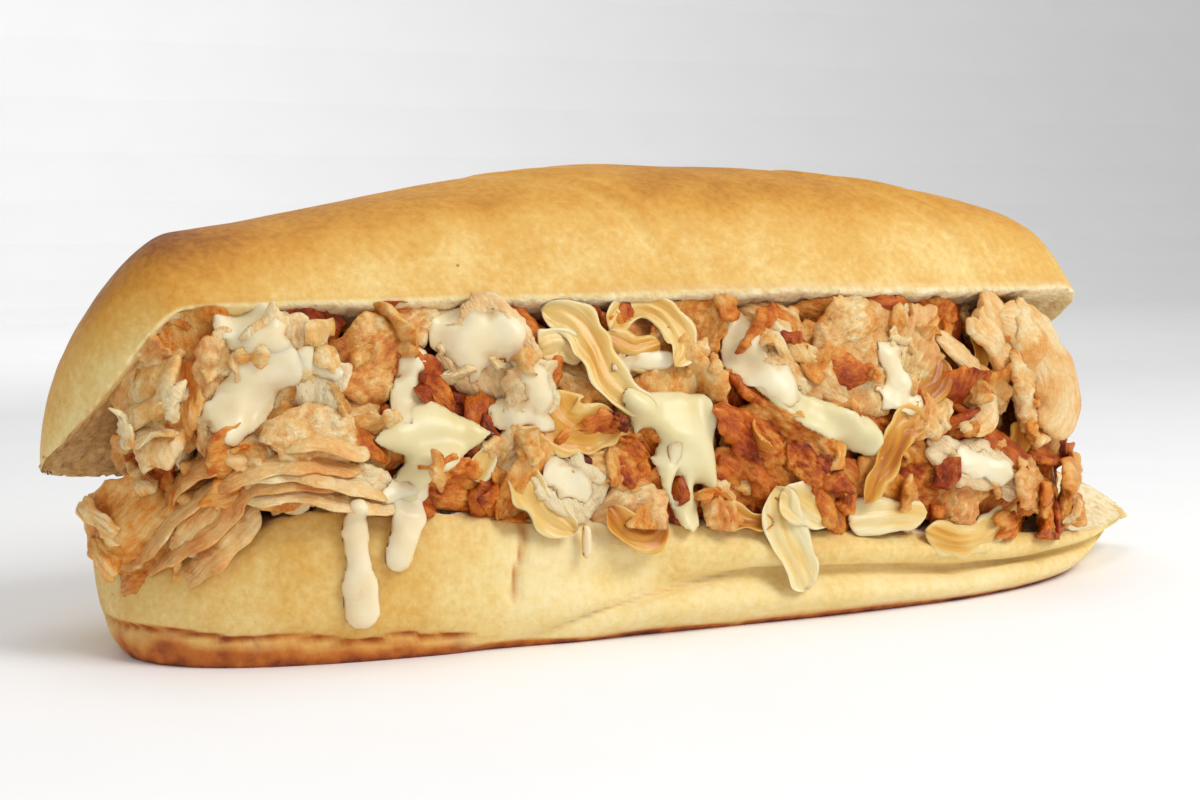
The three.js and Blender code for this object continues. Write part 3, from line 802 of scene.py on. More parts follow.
def faced(points, at, normal, lean):
    """Flat points with up turned to a normal and +X leaning by an angle, moved to a place."""
    normal = np.asarray(normal, float) / np.linalg.norm(normal)
    level = np.cross((0, 0, 1), normal)
    level = level / np.linalg.norm(level) if np.linalg.norm(level) > 1e-3 else np.array((1.0, 0, 0))
    upward = np.cross(normal, level)
    right = math.cos(lean) * level + math.sin(lean) * upward
    above = np.cross(normal, right)
    return points @ np.stack([right, above, normal]) + at


class Joined:
    """Points, faces and values of many small shapes that become one mesh."""

    def __init__(self, *names):
        self.points, self.faces, self.values, self.count = [], [], {n: [] for n in names}, 0

    def take(self, points, faces, **values):
        self.points.append(points)
        self.faces += [[i + self.count for i in face] for face in faces]
        self.count += len(points)
        for name, value in values.items():
            value = np.asarray(value, float)
            self.values[name].append(value if value.ndim == 2 else np.broadcast_to(value, len(points)))

    def mesh(self):
        made = bpy.data.meshes.new("piece")
        made.from_pydata((np.concatenate(self.points) * MM).tolist(), [], self.faces)
        for name, values in self.values.items():
            values = np.concatenate(values)
            set_values(made, name, np.clip(values, 0, 1) if values.ndim == 1 else values)
        return made


placed = faced(sample, on_front(0, 35, 0), (0, -1, 0), 0)
print("middle of a slice on the front:", placed.mean(0).round(1))

# %% [markdown]
# The heap is filled in layers: slices deep down, coloured darker as painted shade, paler ones over them,
# then the large pieces that give this sandwich its face, each put where it lies by its X and Z. Slices at
# the heap's two ends face outwards.

# %% Slices all over the heap
dice = random.Random(7)
under, left_slices, right_slices = (Joined("brown", "sauced", "lay") for _ in range(3))


def drop_slice(heap, blank, at, normal, lean, size, curl, tone, sauced, hangs=False, under_lid=True):
    """Adds a slice, torn at random and kept out of the bread, to a heap."""
    seed, clump = dice.uniform(0, 90), dice.uniform(0, 1) * (0.5 if hangs else 1)
    points, brown, lay = torn_slice(blank, *size, curl, dice.uniform(-0.8, 0.8), seed, clump)
    points = tucked(faced(points, at, normal, lean), hangs, under_lid)
    heap.take(points, blank[3], brown=tone + brown, sauced=sauced, lay=lay)


LAYERS = [
    # standoff, columns, rows, browning; the deeper layer is darker as painted shade
    ((-3.5, -1.5), 12, 4, (0.7, 1.0)),
    ((-1.2, 0.6), 13, 4, (0.42, 0.86)),
]
for standoff, columns, rows, tones in LAYERS:
    for row in range(rows):
        for column in range(columns):
            run = (column + 0.5 * (row % 2) + dice.uniform(0, 0.7)) / columns
            t = np.array([lerp(HEAP_RUN[0] - 0.03, HEAP_RUN[1] + 0.02, min(run, 1))])
            at = heap_face(t, np.array([(row + dice.uniform(0.15, 0.85)) / rows]))[0]
            at[1] -= dice.uniform(*standoff)
            normal = (dice.gauss(0, 0.4), -1, dice.gauss(0.1, 0.5))
            size = (dice.uniform(11, 18), dice.uniform(8, 13), dice.uniform(1.1, 2.0))
            # The deeper layer's darker tones are painted shade between the pieces.
            tone = dice.uniform(*tones) - 0.22 * smooth(-at[0], 50, 80)
            lean, curl = dice.uniform(-1.6, 1.6), dice.gauss(0, 0.9)
            drop_slice(under, COARSE_BLANK, at, normal, lean, size, curl, tone, 0)
print("slices in the layers:", len(under.points))

# %% Slices at the two ends
END_SLICES = 24
for end, t in enumerate(HEAP_RUN):
    for spot in range(END_SLICES):
        depth = (spot % 5 + dice.uniform(0.1, 0.9)) / 6.5
        height = (spot // 5 + dice.uniform(0.1, 0.9)) / 5
        station = np.array([t])
        low_point = cut_face(station, np.array([depth * HINGE_SHARE]))[0]
        high_point = cut_face(station, np.array([lerp(1, HINGE_SHARE, depth)]))[0]
        outward = dice.uniform(0, 5) if end else dice.uniform(-3, 2)
        at = lerp(low_point, high_point, height) + (outward, 0, 0)
        normal = ((1 if end else -1), dice.gauss(-0.4, 0.4), dice.gauss(0.1, 0.4))
        size = (dice.uniform(11, 17), dice.uniform(8, 12), dice.uniform(1.2, 2.2))
        tone = dice.uniform(0.3, 0.65) - (0 if end else 0.12)
        lean, curl = dice.uniform(-1.6, 1.6), dice.gauss(0, 0.8)
        drop_slice(under, COARSE_BLANK, at, normal, lean, size, curl, tone, 0)
print("slices so far:", len(under.points))

# %% [markdown]
# These are the pieces that an eye remembers: the chunk that hangs out on the left, the pale slices
# under the sauce, the browned strips in the middle and the thick ones at the right end. They could be
# sculpted one by one, but a table with one torn shape keeps each easy to find and to move.

# %% The large slices that show
LARGE_SLICES = [
    # X, Z, length, width, thickness, lean, standoff, curl, browning, sauce; two rows near the end are
    # darkened as painted shade
    (-98, 42, 10, 8, 4, 1.0, 0, 1, 0.32, 0.1),
    (-95, 46, 7, 5, 3, 0.5, 0.5, 1, 0.35, 0.1),
    (-91, 40, 10, 6, 4, 1.7, 1, 0.6, 0.45, 0),
    (-86, 41, 17, 8, 4, 1.5, 1, 0.5, 0.36, 0.15),
    (-79, 44, 18, 13, 5, 1.2, 2, 0.6, 0.3, 0.2),
    (-72, 44, 8, 7, 4, 1.4, 3, 0.8, 0.15, 0.6),
    (-74, 35, 13, 7, 3, 0.1, 2.5, 0.7, 0.3, 0.1),
    (-82, 32, 10, 6, 4, 0.1, 1.5, 0.6, 0.32, 0.1),
    (-98.5, 21.5, 13, 10, 5, 0.9, 1, 1.0, 0.42, 0),
    (-96, 31, 9, 7, 4, 1.2, -1, 0.9, 0.5, 0),
    (-91, 21, 18, 6, 2.2, 1.1, 3, 1.4, 0.46, 0),
    (-88, 23, 16, 5, 2.2, 0.9, 3.5, 1.6, 0.36, 0.1),
    (-96, 15, 11, 6, 2.2, 0.4, 3, 1.2, 0.46, 0),
    (-72, 49, 10, 9, 4, 2.2, 0, 0.5, 0.78, 0),
    (-64, 45, 13, 10, 5, 0.3, 1.5, 0.6, 0.55, 0.05),
    (-56, 49, 10, 7, 4, 0.5, 0.5, 1, 0.36, 0.1),
    (-44, 44, 20, 15, 5, 2.1, 1.5, 0.5, 0.3, 0.3),
    (-39, 38, 10, 10, 4, 1.0, 2.5, 0.8, 0.28, 0.3),
    (-52, 26, 15, 8, 4, 2.8, 1, 0.6, 0.68, 0),
    (-46, 29, 8, 3, 3, 2.1, 1.5, 0.8, 0.4, 0),
    (-43, 31, 8, 7, 4, 0.6, 2, 0.9, 0.36, 0.1),
    (-30, 29, 16, 9, 4, 2.9, 0, 0.5, 0.62, 0.05),
    (-33, 25, 12, 9, 4, 2.1, 1.5, 0.8, 0.14, 0.5),
    (-26, 27, 14, 6, 3, 2.8, 1.5, 0.5, 0.46, 0.05),
    (-23, 20, 11, 9, 5, 0.3, 1.5, 0.9, 0.36, 0.2),
    (-18, 46, 20, 9, 4, 0, -1, 0.4, 0.55, 0.1),
    (-7, 48, 11, 11, 4, 1.0, 0.5, 0.6, 0.52, 0),
    (-9, 44, 6, 4, 3, 1.2, 2, 1, 0.42, 0),
    (10, 41, 22, 8, 4, 2.3, 1.5, 0.7, 0.4, 0.15),
    (7, 48, 12, 8, 4, 2.7, 0, 0.5, 0.5, 0.1),
    (8, 30, 17, 8, 4, 2.6, 1.5, 0.7, 0.6, 0),
    (0, 31, 17, 6, 3, 2.5, 1.5, 0.9, 0.8, 0),
    (12, 23, 16, 5, 3, 2.3, 2.5, 0.7, 0.85, 0),
    (5, 26, 17, 5, 3, 2.3, 1, 0.6, 0.72, 0),
    (-6, 22, 13, 5, 3, 1.4, 1, 0.4, 0.48, 0.05),
    (26, 44, 25, 16, 6, 0.3, 1.5, 0.5, 0.4, 0.1),
    (20, 48, 13, 7, 3, 0.4, 3, 0.9, 0.38, 0.05),
    (34, 44, 14, 9, 3, 1.0, 3, 0.8, 0.4, 0.15),
    (45, 46, 12, 10, 4, 1.4, -1, 0.4, 0.78, 0),
    (54, 43, 20, 13, 5, 2.0, 1.5, 1, 0.34, 0.1),
    (59, 35, 20, 13, 5, 2.3, 2, 1.2, 0.36, 0.1),
    (65, 41, 26, 16, 4, 1.75, 0, 1.7, 0.26, 0.05),
    (68, 33, 17, 12, 5, 1.2, -1, 1.2, 0.32, 0),
    (68, 26, 17, 12, 5, 1.9, -3, 0.8, 0.5, 0),
    (60, 49, 14, 9, 4, 0.4, -2, 0.6, 0.55, 0),
    (61, 29, 11, 6, 3, 0.2, 2, 1, 0.45, 0),
    (53, 23, 13, 8, 4, 0.4, 1.5, 0.8, 0.38, 0.1),
    (46, 23, 20, 10, 4, 2.7, 3, 0.7, 0.26, 0.5),
    (59, 19, 20, 8, 3, 2.9, 3, 0.8, 0.46, 0.1),
    (65, 14, 13, 7, 3, 2.2, 2, 1, 0.6, 0),
    (32, 21, 19, 10, 4, 2.9, -1, 0.4, 0.82, 0),
    (56, 12, 15, 6, 3, 0.2, 1.5, 0.7, 0.66, 0),
    (43, 18, 14, 8, 3, 0.6, 1.5, 0.8, 0.55, 0.1),
    (36, 33, 10, 9, 5, 1.0, 2, 0.8, 0.42, 0.05),
    (18, 36, 10, 7, 4, 2.2, 0.5, 0.7, 0.35, 0.2),
    (28, 29, 15, 8, 4, 2.7, 0, 0.6, 0.66, 0),
    (-83, 27, 12, 5, 3, 0.2, 1.5, 0.9, 0.45, 0),
    (-76, 26, 13, 5, 3, 0, 1.5, 0.6, 0.22, 0.3),
    (-68, 27, 12, 5, 3, 3.0, 2, 0.6, 0.24, 0.3),
    (-17, 29, 9, 7, 4, 2.1, -1, 0.6, 0.7, 0),
    (-12, 24, 7, 7, 4, 1.6, -2, 0.5, 0.85, 0),
    (-12, 46, 7, 7, 4, 1.0, 0, 0.6, 0.5, 0),
    (60, 44, 17, 14, 5, 1.2, -5, 0.4, 0.6, 0),
    (62, 37, 18, 15, 5, 1.5, -6, 0.4, 0.66, 0),
    (64, 31, 18, 14, 5, 1.3, -6, 0.4, 0.72, 0),
    (67, 24, 18, 14, 5, 0.6, -6, 0.4, 0.7, 0),
    (-102.5, 21.5, 8, 3, 2, 2.5, 2, 1.2, 0.34, 0),
    (-101.5, 16.5, 7, 3, 2, 2.1, 2, 1.0, 0.42, 0),
    (-97, 17.5, 9, 5, 3, 0.9, 2.5, 1.2, 0.38, 0),
    # Painted shade: a dark slice for the hollow between the hanging chunk and the layers.
    (-94, 30, 9, 8, 3, 1.3, 0.5, 0.4, 0.82, 0),
    # Painted shade: the darkest slice, for a dark hollow low in the middle.
    (-2, 20.5, 10, 7, 3, 0.4, -1.5, 0.4, 1.0, 0),
    (71, 18, 13, 8, 3, 2.4, 3, 0.9, 0.4, 0),
    (72, 13.5, 12, 7, 3, 2.6, 3, 0.9, 0.62, 0),
    (66, 11.5, 12, 6, 3, 0.4, 3, 0.8, 0.78, 0),
    (69, 19, 13, 11, 4, 1.4, -3.5, 0.5, 0.65, 0),
]
SLICE_SPREAD, SLICE_THINNING, SLICE_CURL = 1.1, 0.45, -0.7
for px, pz, length, width, thick, lean, standoff, curl, tone, sauced in LARGE_SLICES:
    # Those at the two ends turn outwards. Those low on the left hang out over the base's edge.
    side = 0.9 if px > 50 and standoff > -4 else -0.9 if px < -88 else 0
    normal = (side + dice.gauss(0, 0.15), -1, dice.gauss(0.1, 0.25))
    at = on_front(px, pz, standoff)
    size = (SLICE_SPREAD * length, SLICE_SPREAD * width, SLICE_THINNING * thick)
    heap = left_slices if px < -12 else right_slices
    hangs = px < -84 and pz < 28
    drop_slice(heap, FINE_BLANK, at, normal, lean, size, SLICE_CURL * curl, tone, sauced, hangs, False)
under_mesh, left_mesh, right_mesh = under.mesh(), left_slices.mesh(), right_slices.mesh()
print("large slices:", len(LARGE_SLICES))

# %% [markdown]
# ### Cooked chicken
# Shaved chicken breast, griddled and chopped: moist, fibrous and softly translucent, cream to tan
# where it is only cooked through and orange to dark brown where it met the hot plate. The darkest browns
# also paint the shade deep in the heap and in the troughs of each piece. Fine strands run along each
# piece, patches of juice shine between duller ones, and soaked-in sauce makes it paler.

# %% Chicken material
# The dark end of this ramp also paints shade: the core, the deep layer and the troughs of the slices.
COOKED_AND_SHADE = [(0, "FADFAA"), (1, "541505"), (0.2, "F3C073"), (0.42, "E79A3E")]
COOKED_AND_SHADE += [(0.6, "D37018"), (0.8, "A83E08")]
chicken, tree, shader, coords = material("griddled_chicken_breast")
brown_in = add(tree, "Attribute", attribute_name="brown").outputs["Fac"]
sauced_in = add(tree, "Attribute", attribute_name="sauced").outputs["Fac"]
lay_in = add(tree, "Attribute", attribute_name="lay").outputs["Vector"]
patch = add(
    tree, "TexNoise", {"Vector": coords, "Scale": per_metre(4.5), "Detail": 4, "Roughness": 0.6}
)
fibre = add(
    tree, "TexNoise", {"Vector": coords, "Scale": per_metre(1.1), "Detail": 3, "Distortion": 0.8}
)
# lay is in millimetres, so a strand is 0.8 mm wide and about six times as long.
drawn = add(tree, "VectorMath", {0: lay_in, 1: (0.17, 1, 1)}, operation="MULTIPLY")
strand = add(tree, "TexNoise", {"Vector": drawn, "Scale": 1 / 0.8, "Detail": 4, "Roughness": 0.7})
cooked_and_shade_in = brown_in
for noise, weight in ((patch, 0.5), (fibre, 0.3), (strand, 0.6)):
    cooked_and_shade_in = add(tree, "Math", {0: noise, 1: weight, 2: cooked_and_shade_in}, operation="MULTIPLY_ADD")
cooked_and_shade_in = add(tree, "Math", {0: cooked_and_shade_in, 1: 0.79}, operation="SUBTRACT")
cooked_and_shade_colour = add(tree, "ValToRGB", {"Fac": cooked_and_shade_in}, stops=COOKED_AND_SHADE)
soaked = add(tree, "Mix", {0: sauced_in, 6: cooked_and_shade_colour, 7: colour("F3E3BE")}, data_type="RGBA").outputs[2]
wet_range = {"From Min": 0.3, "From Max": 0.7, "To Min": 0.2, "To Max": 0.42}
wet = add(tree, "MapRange", {"Value": patch, **wet_range})
thread = add(
    tree, "TexNoise", {"Vector": coords, "Scale": per_metre(0.6), "Detail": 2, "Distortion": 1.2}
)
relief = add(tree, "Bump", {"Height": strand, "Strength": 0.9, "Distance": 0.9 * MM})
relief = add(tree, "Bump", {"Height": thread, "Strength": 0.5, "Distance": 0.3 * MM, "Normal": relief})
connect(
    tree,
    shader,
    {
        "Base Color": soaked,
        "Roughness": wet,
        "Normal": relief,
        "IOR": 1.42,
        "Subsurface Weight": 0.18,
        "Subsurface Radius": (1.0, 0.5, 0.28),
        "Subsurface Scale": 1.6 * MM,
    },
)
HEAP = (["filling"], "chicken_and_onion")  # the CAD nodes that the pieces of the heap hide, and a slot name
finish_piece("heap_core", core_mesh, chicken, *HEAP)
finish_piece("chicken_under", under_mesh, chicken, *HEAP)
finish_piece("chicken_slices_left", left_mesh, chicken, *HEAP)
finish_piece("chicken_slices_right", right_mesh, chicken, *HEAP)

# %% [markdown]
# ## Strips
# Soft fried onion and the thin folded slices of chicken on the left are ribbons: a grid that follows a
# curve, cupped across its width and thickened. The broad side of an onion strip faces the front, and
# that of the folded slices faces up, so that they are seen edge on as layers.

# %% A ribbon along a path


def ribbon(blank, path, widths, thick, facing, cup, seed, rag, relief, ribs=0):
    """Points of a ribbon and where they lie along it. facing turns its broad side up to the sky."""
    a, b, side, _ = blank
    seed = 3.3 * seed
    shares = (a + 1) / 2
    centre = along_path(path, shares)
    next_share, last_share = np.minimum(shares + 0.01, 1), np.maximum(shares - 0.01, 0)
    ahead = along_path(path, next_share) - along_path(path, last_share)
    ahead = ahead / np.linalg.norm(ahead, axis=-1, keepdims=True)
    hint = np.array((0, -math.cos(facing), math.sin(facing)))
    normal = hint - (ahead @ hint)[:, None] * ahead
    normal = normal / np.linalg.norm(normal, axis=-1, keepdims=True)
    across = np.cross(ahead, normal)
    end = np.maximum(1 - np.abs(a) ** 5, 0.01) ** 0.6
    spread = b * lerp(*widths, shares) / 2 * end
    spread = spread * (1 + rag * grain(centre + 3 * across * b[:, None], 4, seed))
    flat = centre + across * spread[:, None]
    bumps = relief * (np.abs(grain(flat, 2.6, seed + 3)) + 0.5 * np.abs(grain(flat, 1.2, seed + 4)))
    thin = 1 - 0.8 * np.abs(b) ** 3
    lift = side * (thick / 2 + bumps) * thin * end + 0.6 * grain(centre, 8, seed + 1) - cup * b * b
    lift = lift + ribs * np.cos(7.5 * b + grain(centre, 5, seed + 2)) * end
    run = np.linalg.norm(np.diff(np.asarray(path), axis=0), axis=-1).sum()
    return flat + normal * lift[:, None], np.stack([shares * run, spread, 0 * a + 7 * seed], -1)


STRIP_BLANK = shell(48, 14)
print("strip shell:", len(STRIP_BLANK[3]), "faces")

# %% [markdown]
# Thin slices have slumped into layers on the left, one curls over the sauce and a thick one wraps the
# right end. They are too long and too bent for the torn slice, so they follow curves.

# %% Folded slices
FOLDED_SLICES = [
    # points as X and Z, width, thickness, facing, browning, standoff, relief
    ([(-98, 15), (-91, 23.5), (-84, 29.5), (-76, 31.5), (-66, 30)], 9, 1.1, 1.2, 0.42, 2.0, 0.7),
    ([(-96, 13.5), (-89, 21), (-83.5, 27), (-76, 29), (-68, 28)], 9, 1.0, 1.1, 0.46, 1.5, 0.7),
    ([(-92, 12.5), (-87, 19), (-82, 25)], 8, 1.0, 0.9, 0.36, 2.5, 0.7),
    ([(-99, 17), (-93, 25), (-88, 31), (-84, 33)], 8, 1.0, 1.0, 0.5, 1.0, 0.7),
    ([(-85, 28.5), (-77.5, 29.8), (-70, 28), (-62, 25.3)], 8, 1.2, 1.3, 0.25, 2.5, 0.7),
    ([(-84, 26), (-76, 26.7), (-67, 25), (-61, 24.3)], 8, 1.2, 1.3, 0.22, 2.5, 0.7),
    ([(-80, 33.5), (-72, 34.5), (-65, 32)], 7, 1.0, 1.2, 0.3, 2.5, 0.7),
    ([(39, 47.3), (45.5, 41.6), (49.3, 35.2), (46.8, 30.8), (41.8, 30)], 5, 1.5, 0.9, 0.25, 3.0, 0.7),
    ([(53, 49.5), (58, 47.5), (62.5, 43), (65, 37), (64.5, 32), (61, 29)], 10, 2.2, 0.35, 0.24, 5.0, 0.35),
]
strips = Joined("brown", "sauced", "lay")
for number, (line, width, thick, facing, tone, standoff, relief) in enumerate(FOLDED_SLICES):
    path = [on_front(px, pz, standoff) for px, pz in line]
    points, lay = ribbon(STRIP_BLANK, path, (width, width), thick, facing, 0.5, number, 0.35, relief)
    points = tucked(points, True, False)
    strips.take(points, STRIP_BLANK[3], brown=tone + 0.2 * grain(points, 6, 31), sauced=0.1, lay=lay)
folds_mesh = strips.mesh()
finish_piece("chicken_folds", folds_mesh, chicken, *HEAP)

# %% [markdown]
# Onion strips are cut from the layers of the bulb: thin curved bands with ribs along them. Most lie
# with their rims lifted, and every third is cupped the other way. The rims are thinnest and palest.

# %% Onion strips
STRIP_CUPS = (-0.8, -0.5, 0.4)
STRIP_THICKNESS, STRIP_FACING = 0.25, 0.15
ONIONS = [
    # points as X and Z, width, colour from pale to amber, standoff
    ([(-34.4, 52), (-29.3, 49.8), (-27.1, 45.8), (-25.9, 41), (-22.4, 37.8), (-18, 36.3)], 4.2, 0.35, 3.4),
    ([(-23.3, 48.5), (-20.6, 51.2), (-16.2, 52), (-12.1, 49.8), (-11, 45.4), (-13.2, 42.5)], 3.6, 0.4, 3.2),
    ([(-24.5, 47.3), (-19.2, 45), (-14.3, 46.2)], 4, 0.45, 2.6),
    ([(-42.5, 29.7), (-41.2, 25.4), (-37.8, 21.3), (-33.4, 17.9)], 4.4, 0.3, 3.6),
    ([(-37, 39.2), (-34.4, 34.4), (-29.3, 33.1), (-24.5, 34.7)], 6, 0.6, 2.4),
    ([(-35.8, 46.1), (-31.9, 46.7), (-29, 44)], 4, 0.3, 2.6),
    ([(2.8, 23), (3.8, 16.1), (5.7, 11), (8.1, 5.6)], 5.2, 0.1, 3.6),
    ([(3.5, 21.9), (7.9, 19.2), (13.2, 16.3)], 4.2, 0.12, 3.4),
    ([(17.6, 16), (25.6, 16.5), (33.9, 16.3)], 4.2, 0.2, 3.4),
    ([(33.4, 31.4), (29.3, 31.6), (26, 27), (22.1, 22.1), (20.2, 18.9)], 3.6, 0.8, 3.4),
    ([(33.3, 35.9), (37.9, 37.9), (40.3, 41.8)], 4, 0.8, 2.6),
    ([(33.1, 13.2), (41, 10.8), (49.8, 12.1), (55.3, 16.5)], 3.8, 0.4, 3.6),
    ([(-7.6, 19.3), (-2.8, 17.7), (2.3, 16.7)], 2.8, 0.8, 3),
    ([(-27.6, 21.4), (-23.7, 17.2), (-19.7, 16.9), (-17.9, 20.8)], 3.4, 0.9, 3.4),
    ([(54.5, 22.4), (56.7, 26.7), (57.9, 30.1)], 4, 0.75, 2.4),
    ([(49.8, 49), (49.5, 44.4), (48.7, 39.8)], 3, 0.8, 2),
    ([(-49.4, 26.7), (-47.8, 29.6), (-46.4, 31.4)], 2.6, 0.4, 2.4),
    ([(-41.2, 27.7), (-34.4, 30.5), (-27.6, 30.9)], 4, 0.75, 1.6),
]
onions = Joined("amber", "lay")
for number, (line, width, amber, standoff) in enumerate(ONIONS):
    path = [on_front(px, pz, standoff) for px, pz in line]
    widths, cup = (1.6 * width, 1.15 * width), STRIP_CUPS[number % 3]
    points, lay = ribbon(
        STRIP_BLANK, path, widths, STRIP_THICKNESS, STRIP_FACING, cup, 40 + number, 0.45, 0.1, 0.2
    )
    tint = amber + 0.12 - 0.35 * np.abs(STRIP_BLANK[1]) ** 3 + 0.25 * grain(points, 7, 41)
    onions.take(points, STRIP_BLANK[3], amber=tint, lay=lay)
print("onion strips:", len(ONIONS))

# %% [markdown]
# ### Soft fried onion
# Onion softened in fat: its cells have collapsed, so it is wet, glossy and lets some light through. It
# goes from cream to amber as its sugar browns, with fine veins that run along each strip.

# %% Onion material
FLESH = [(0, "F2E2B2"), (1, "AE6418"), (0.35, "E8C67C"), (0.65, "DAA244"), (0.85, "C88428")]
onion, tree, shader, _ = material("soft_fried_onion")
amber_in = add(tree, "Attribute", attribute_name="amber").outputs["Fac"]
lay_in = add(tree, "Attribute", attribute_name="lay").outputs["Vector"]
# Veins are 1.1 mm apart and about eight times as long.
drawn = add(tree, "VectorMath", {0: lay_in, 1: (0.12, 1, 1)}, operation="MULTIPLY")
vein = add(tree, "TexNoise", {"Vector": drawn, "Scale": 1 / 1.1, "Detail": 3})
veined = add(tree, "Math", {0: vein, 1: 0.8, 2: amber_in}, operation="MULTIPLY_ADD")
veined = add(tree, "Math", {0: veined, 1: 0.4}, operation="SUBTRACT")
connect(
    tree,
    shader,
    {
        "Base Color": add(tree, "ValToRGB", {"Fac": veined}, stops=FLESH),
        "Roughness": add(tree, "MapRange", {"Value": vein, "To Min": 0.2, "To Max": 0.4}),
        "Normal": add(tree, "Bump", {"Height": vein, "Strength": 0.5, "Distance": 0.5 * MM}),
        "IOR": 1.4,
        "Subsurface Weight": 0.3,
        "Subsurface Radius": (1.0, 0.85, 0.6),
        "Subsurface Scale": 0.7 * MM,
    },
)
onion_mesh = onions.mesh()
finish_piece("onion_strips", onion_mesh, onion, *HEAP)

# %% [markdown]
# ## Sauce and cheese
# Both are soft and lie on what is under them. A puddle starts as a grid on the front; a ray from each
# point finds the food or bread behind it, the depths are softened as far as the real thing would
# bridge gaps, and the puddle swells out of that surface. What is outside its outline is deleted, and a
# second sheet behind closes it.

# %% What lies behind a point of the front
RAY_START = -80


def first_hit(trees, px, pz):
    """The nearest place that a ray from the front meets: depth, outward normal, tree and face."""
    nearest = None
    for number, tree in enumerate(trees):
        hit, normal, face, _ = tree.ray_cast(
            Vector((px * MM, RAY_START * MM, pz * MM)), Vector((0, 1, 0))
        )
        if hit is not None and (nearest is None or hit.y / MM < nearest[0]):
            nearest = (hit.y / MM, np.array(normal) * (-1 if normal.y > 0 else 1), number, face)
    return nearest


print("bread in front at X 0, Z 10: Y", round(first_hit([bread_tree], 0, 10)[0], 1))

# %% Outlines of puddles
CAPSULE_BLEND, CORNER_BLEND = 0.6, 0.7


def field(points, blobs, polygon=None, holes=()):
    """Distance inside an outline: capsules (x0, z0, x1, z1, radius) and a polygon, less round holes."""
    inside = np.full(len(points), -1e3)
    for x0, z0, x1, z1, radius in blobs:
        line = np.array((x1 - x0, z1 - z0))
        share = np.clip((points - (x0, z0)) @ line / max(line @ line, 1e-6), 0, 1)
        gap = np.linalg.norm(points - (x0, z0) - share[:, None] * line, axis=-1)
        blend = np.exp(-np.abs(inside - radius + gap) / CAPSULE_BLEND)
        inside = np.maximum(inside, radius - gap) + CAPSULE_BLEND * np.log1p(blend)
    if polygon:
        corners = np.array(polygon, float)
        sides = []
        for start, stop in zip(corners, np.roll(corners, -1, axis=0)):
            run = (stop - start) / np.linalg.norm(stop - start)
            sides.append((points - start) @ (-run[1], run[0]))
        nearness = sum(np.exp(-np.clip(s, -30, 30) / CORNER_BLEND) for s in sides)
        rounded = -np.log(nearness) * CORNER_BLEND
        inside = np.maximum(inside, rounded)
    for hx, hz, wide, tall in holes:
        gap = np.linalg.norm((points - (hx, hz)) / (wide, tall), axis=-1) - 1
        inside = np.minimum(inside, gap * min(wide, tall))
    return inside


print("inside a drop of 2 mm:", field(np.zeros((1, 2)), [(0, 0, 0, 0, 2)]).round(1))

# %% A puddle over what lies behind it
BACK_SINK = 0.9
PUDDLE_MARGIN = 1.5
PUDDLE_BORDER = 0.3


def soften(grid, times):
    for _ in range(times):
        wide = np.pad(grid, 1, mode="edge")
        grid = (2 * grid + wide[:-2, 1:-1] + wide[2:, 1:-1] + wide[1:-1, :-2] + wide[1:-1, 2:]) / 6
    return grid


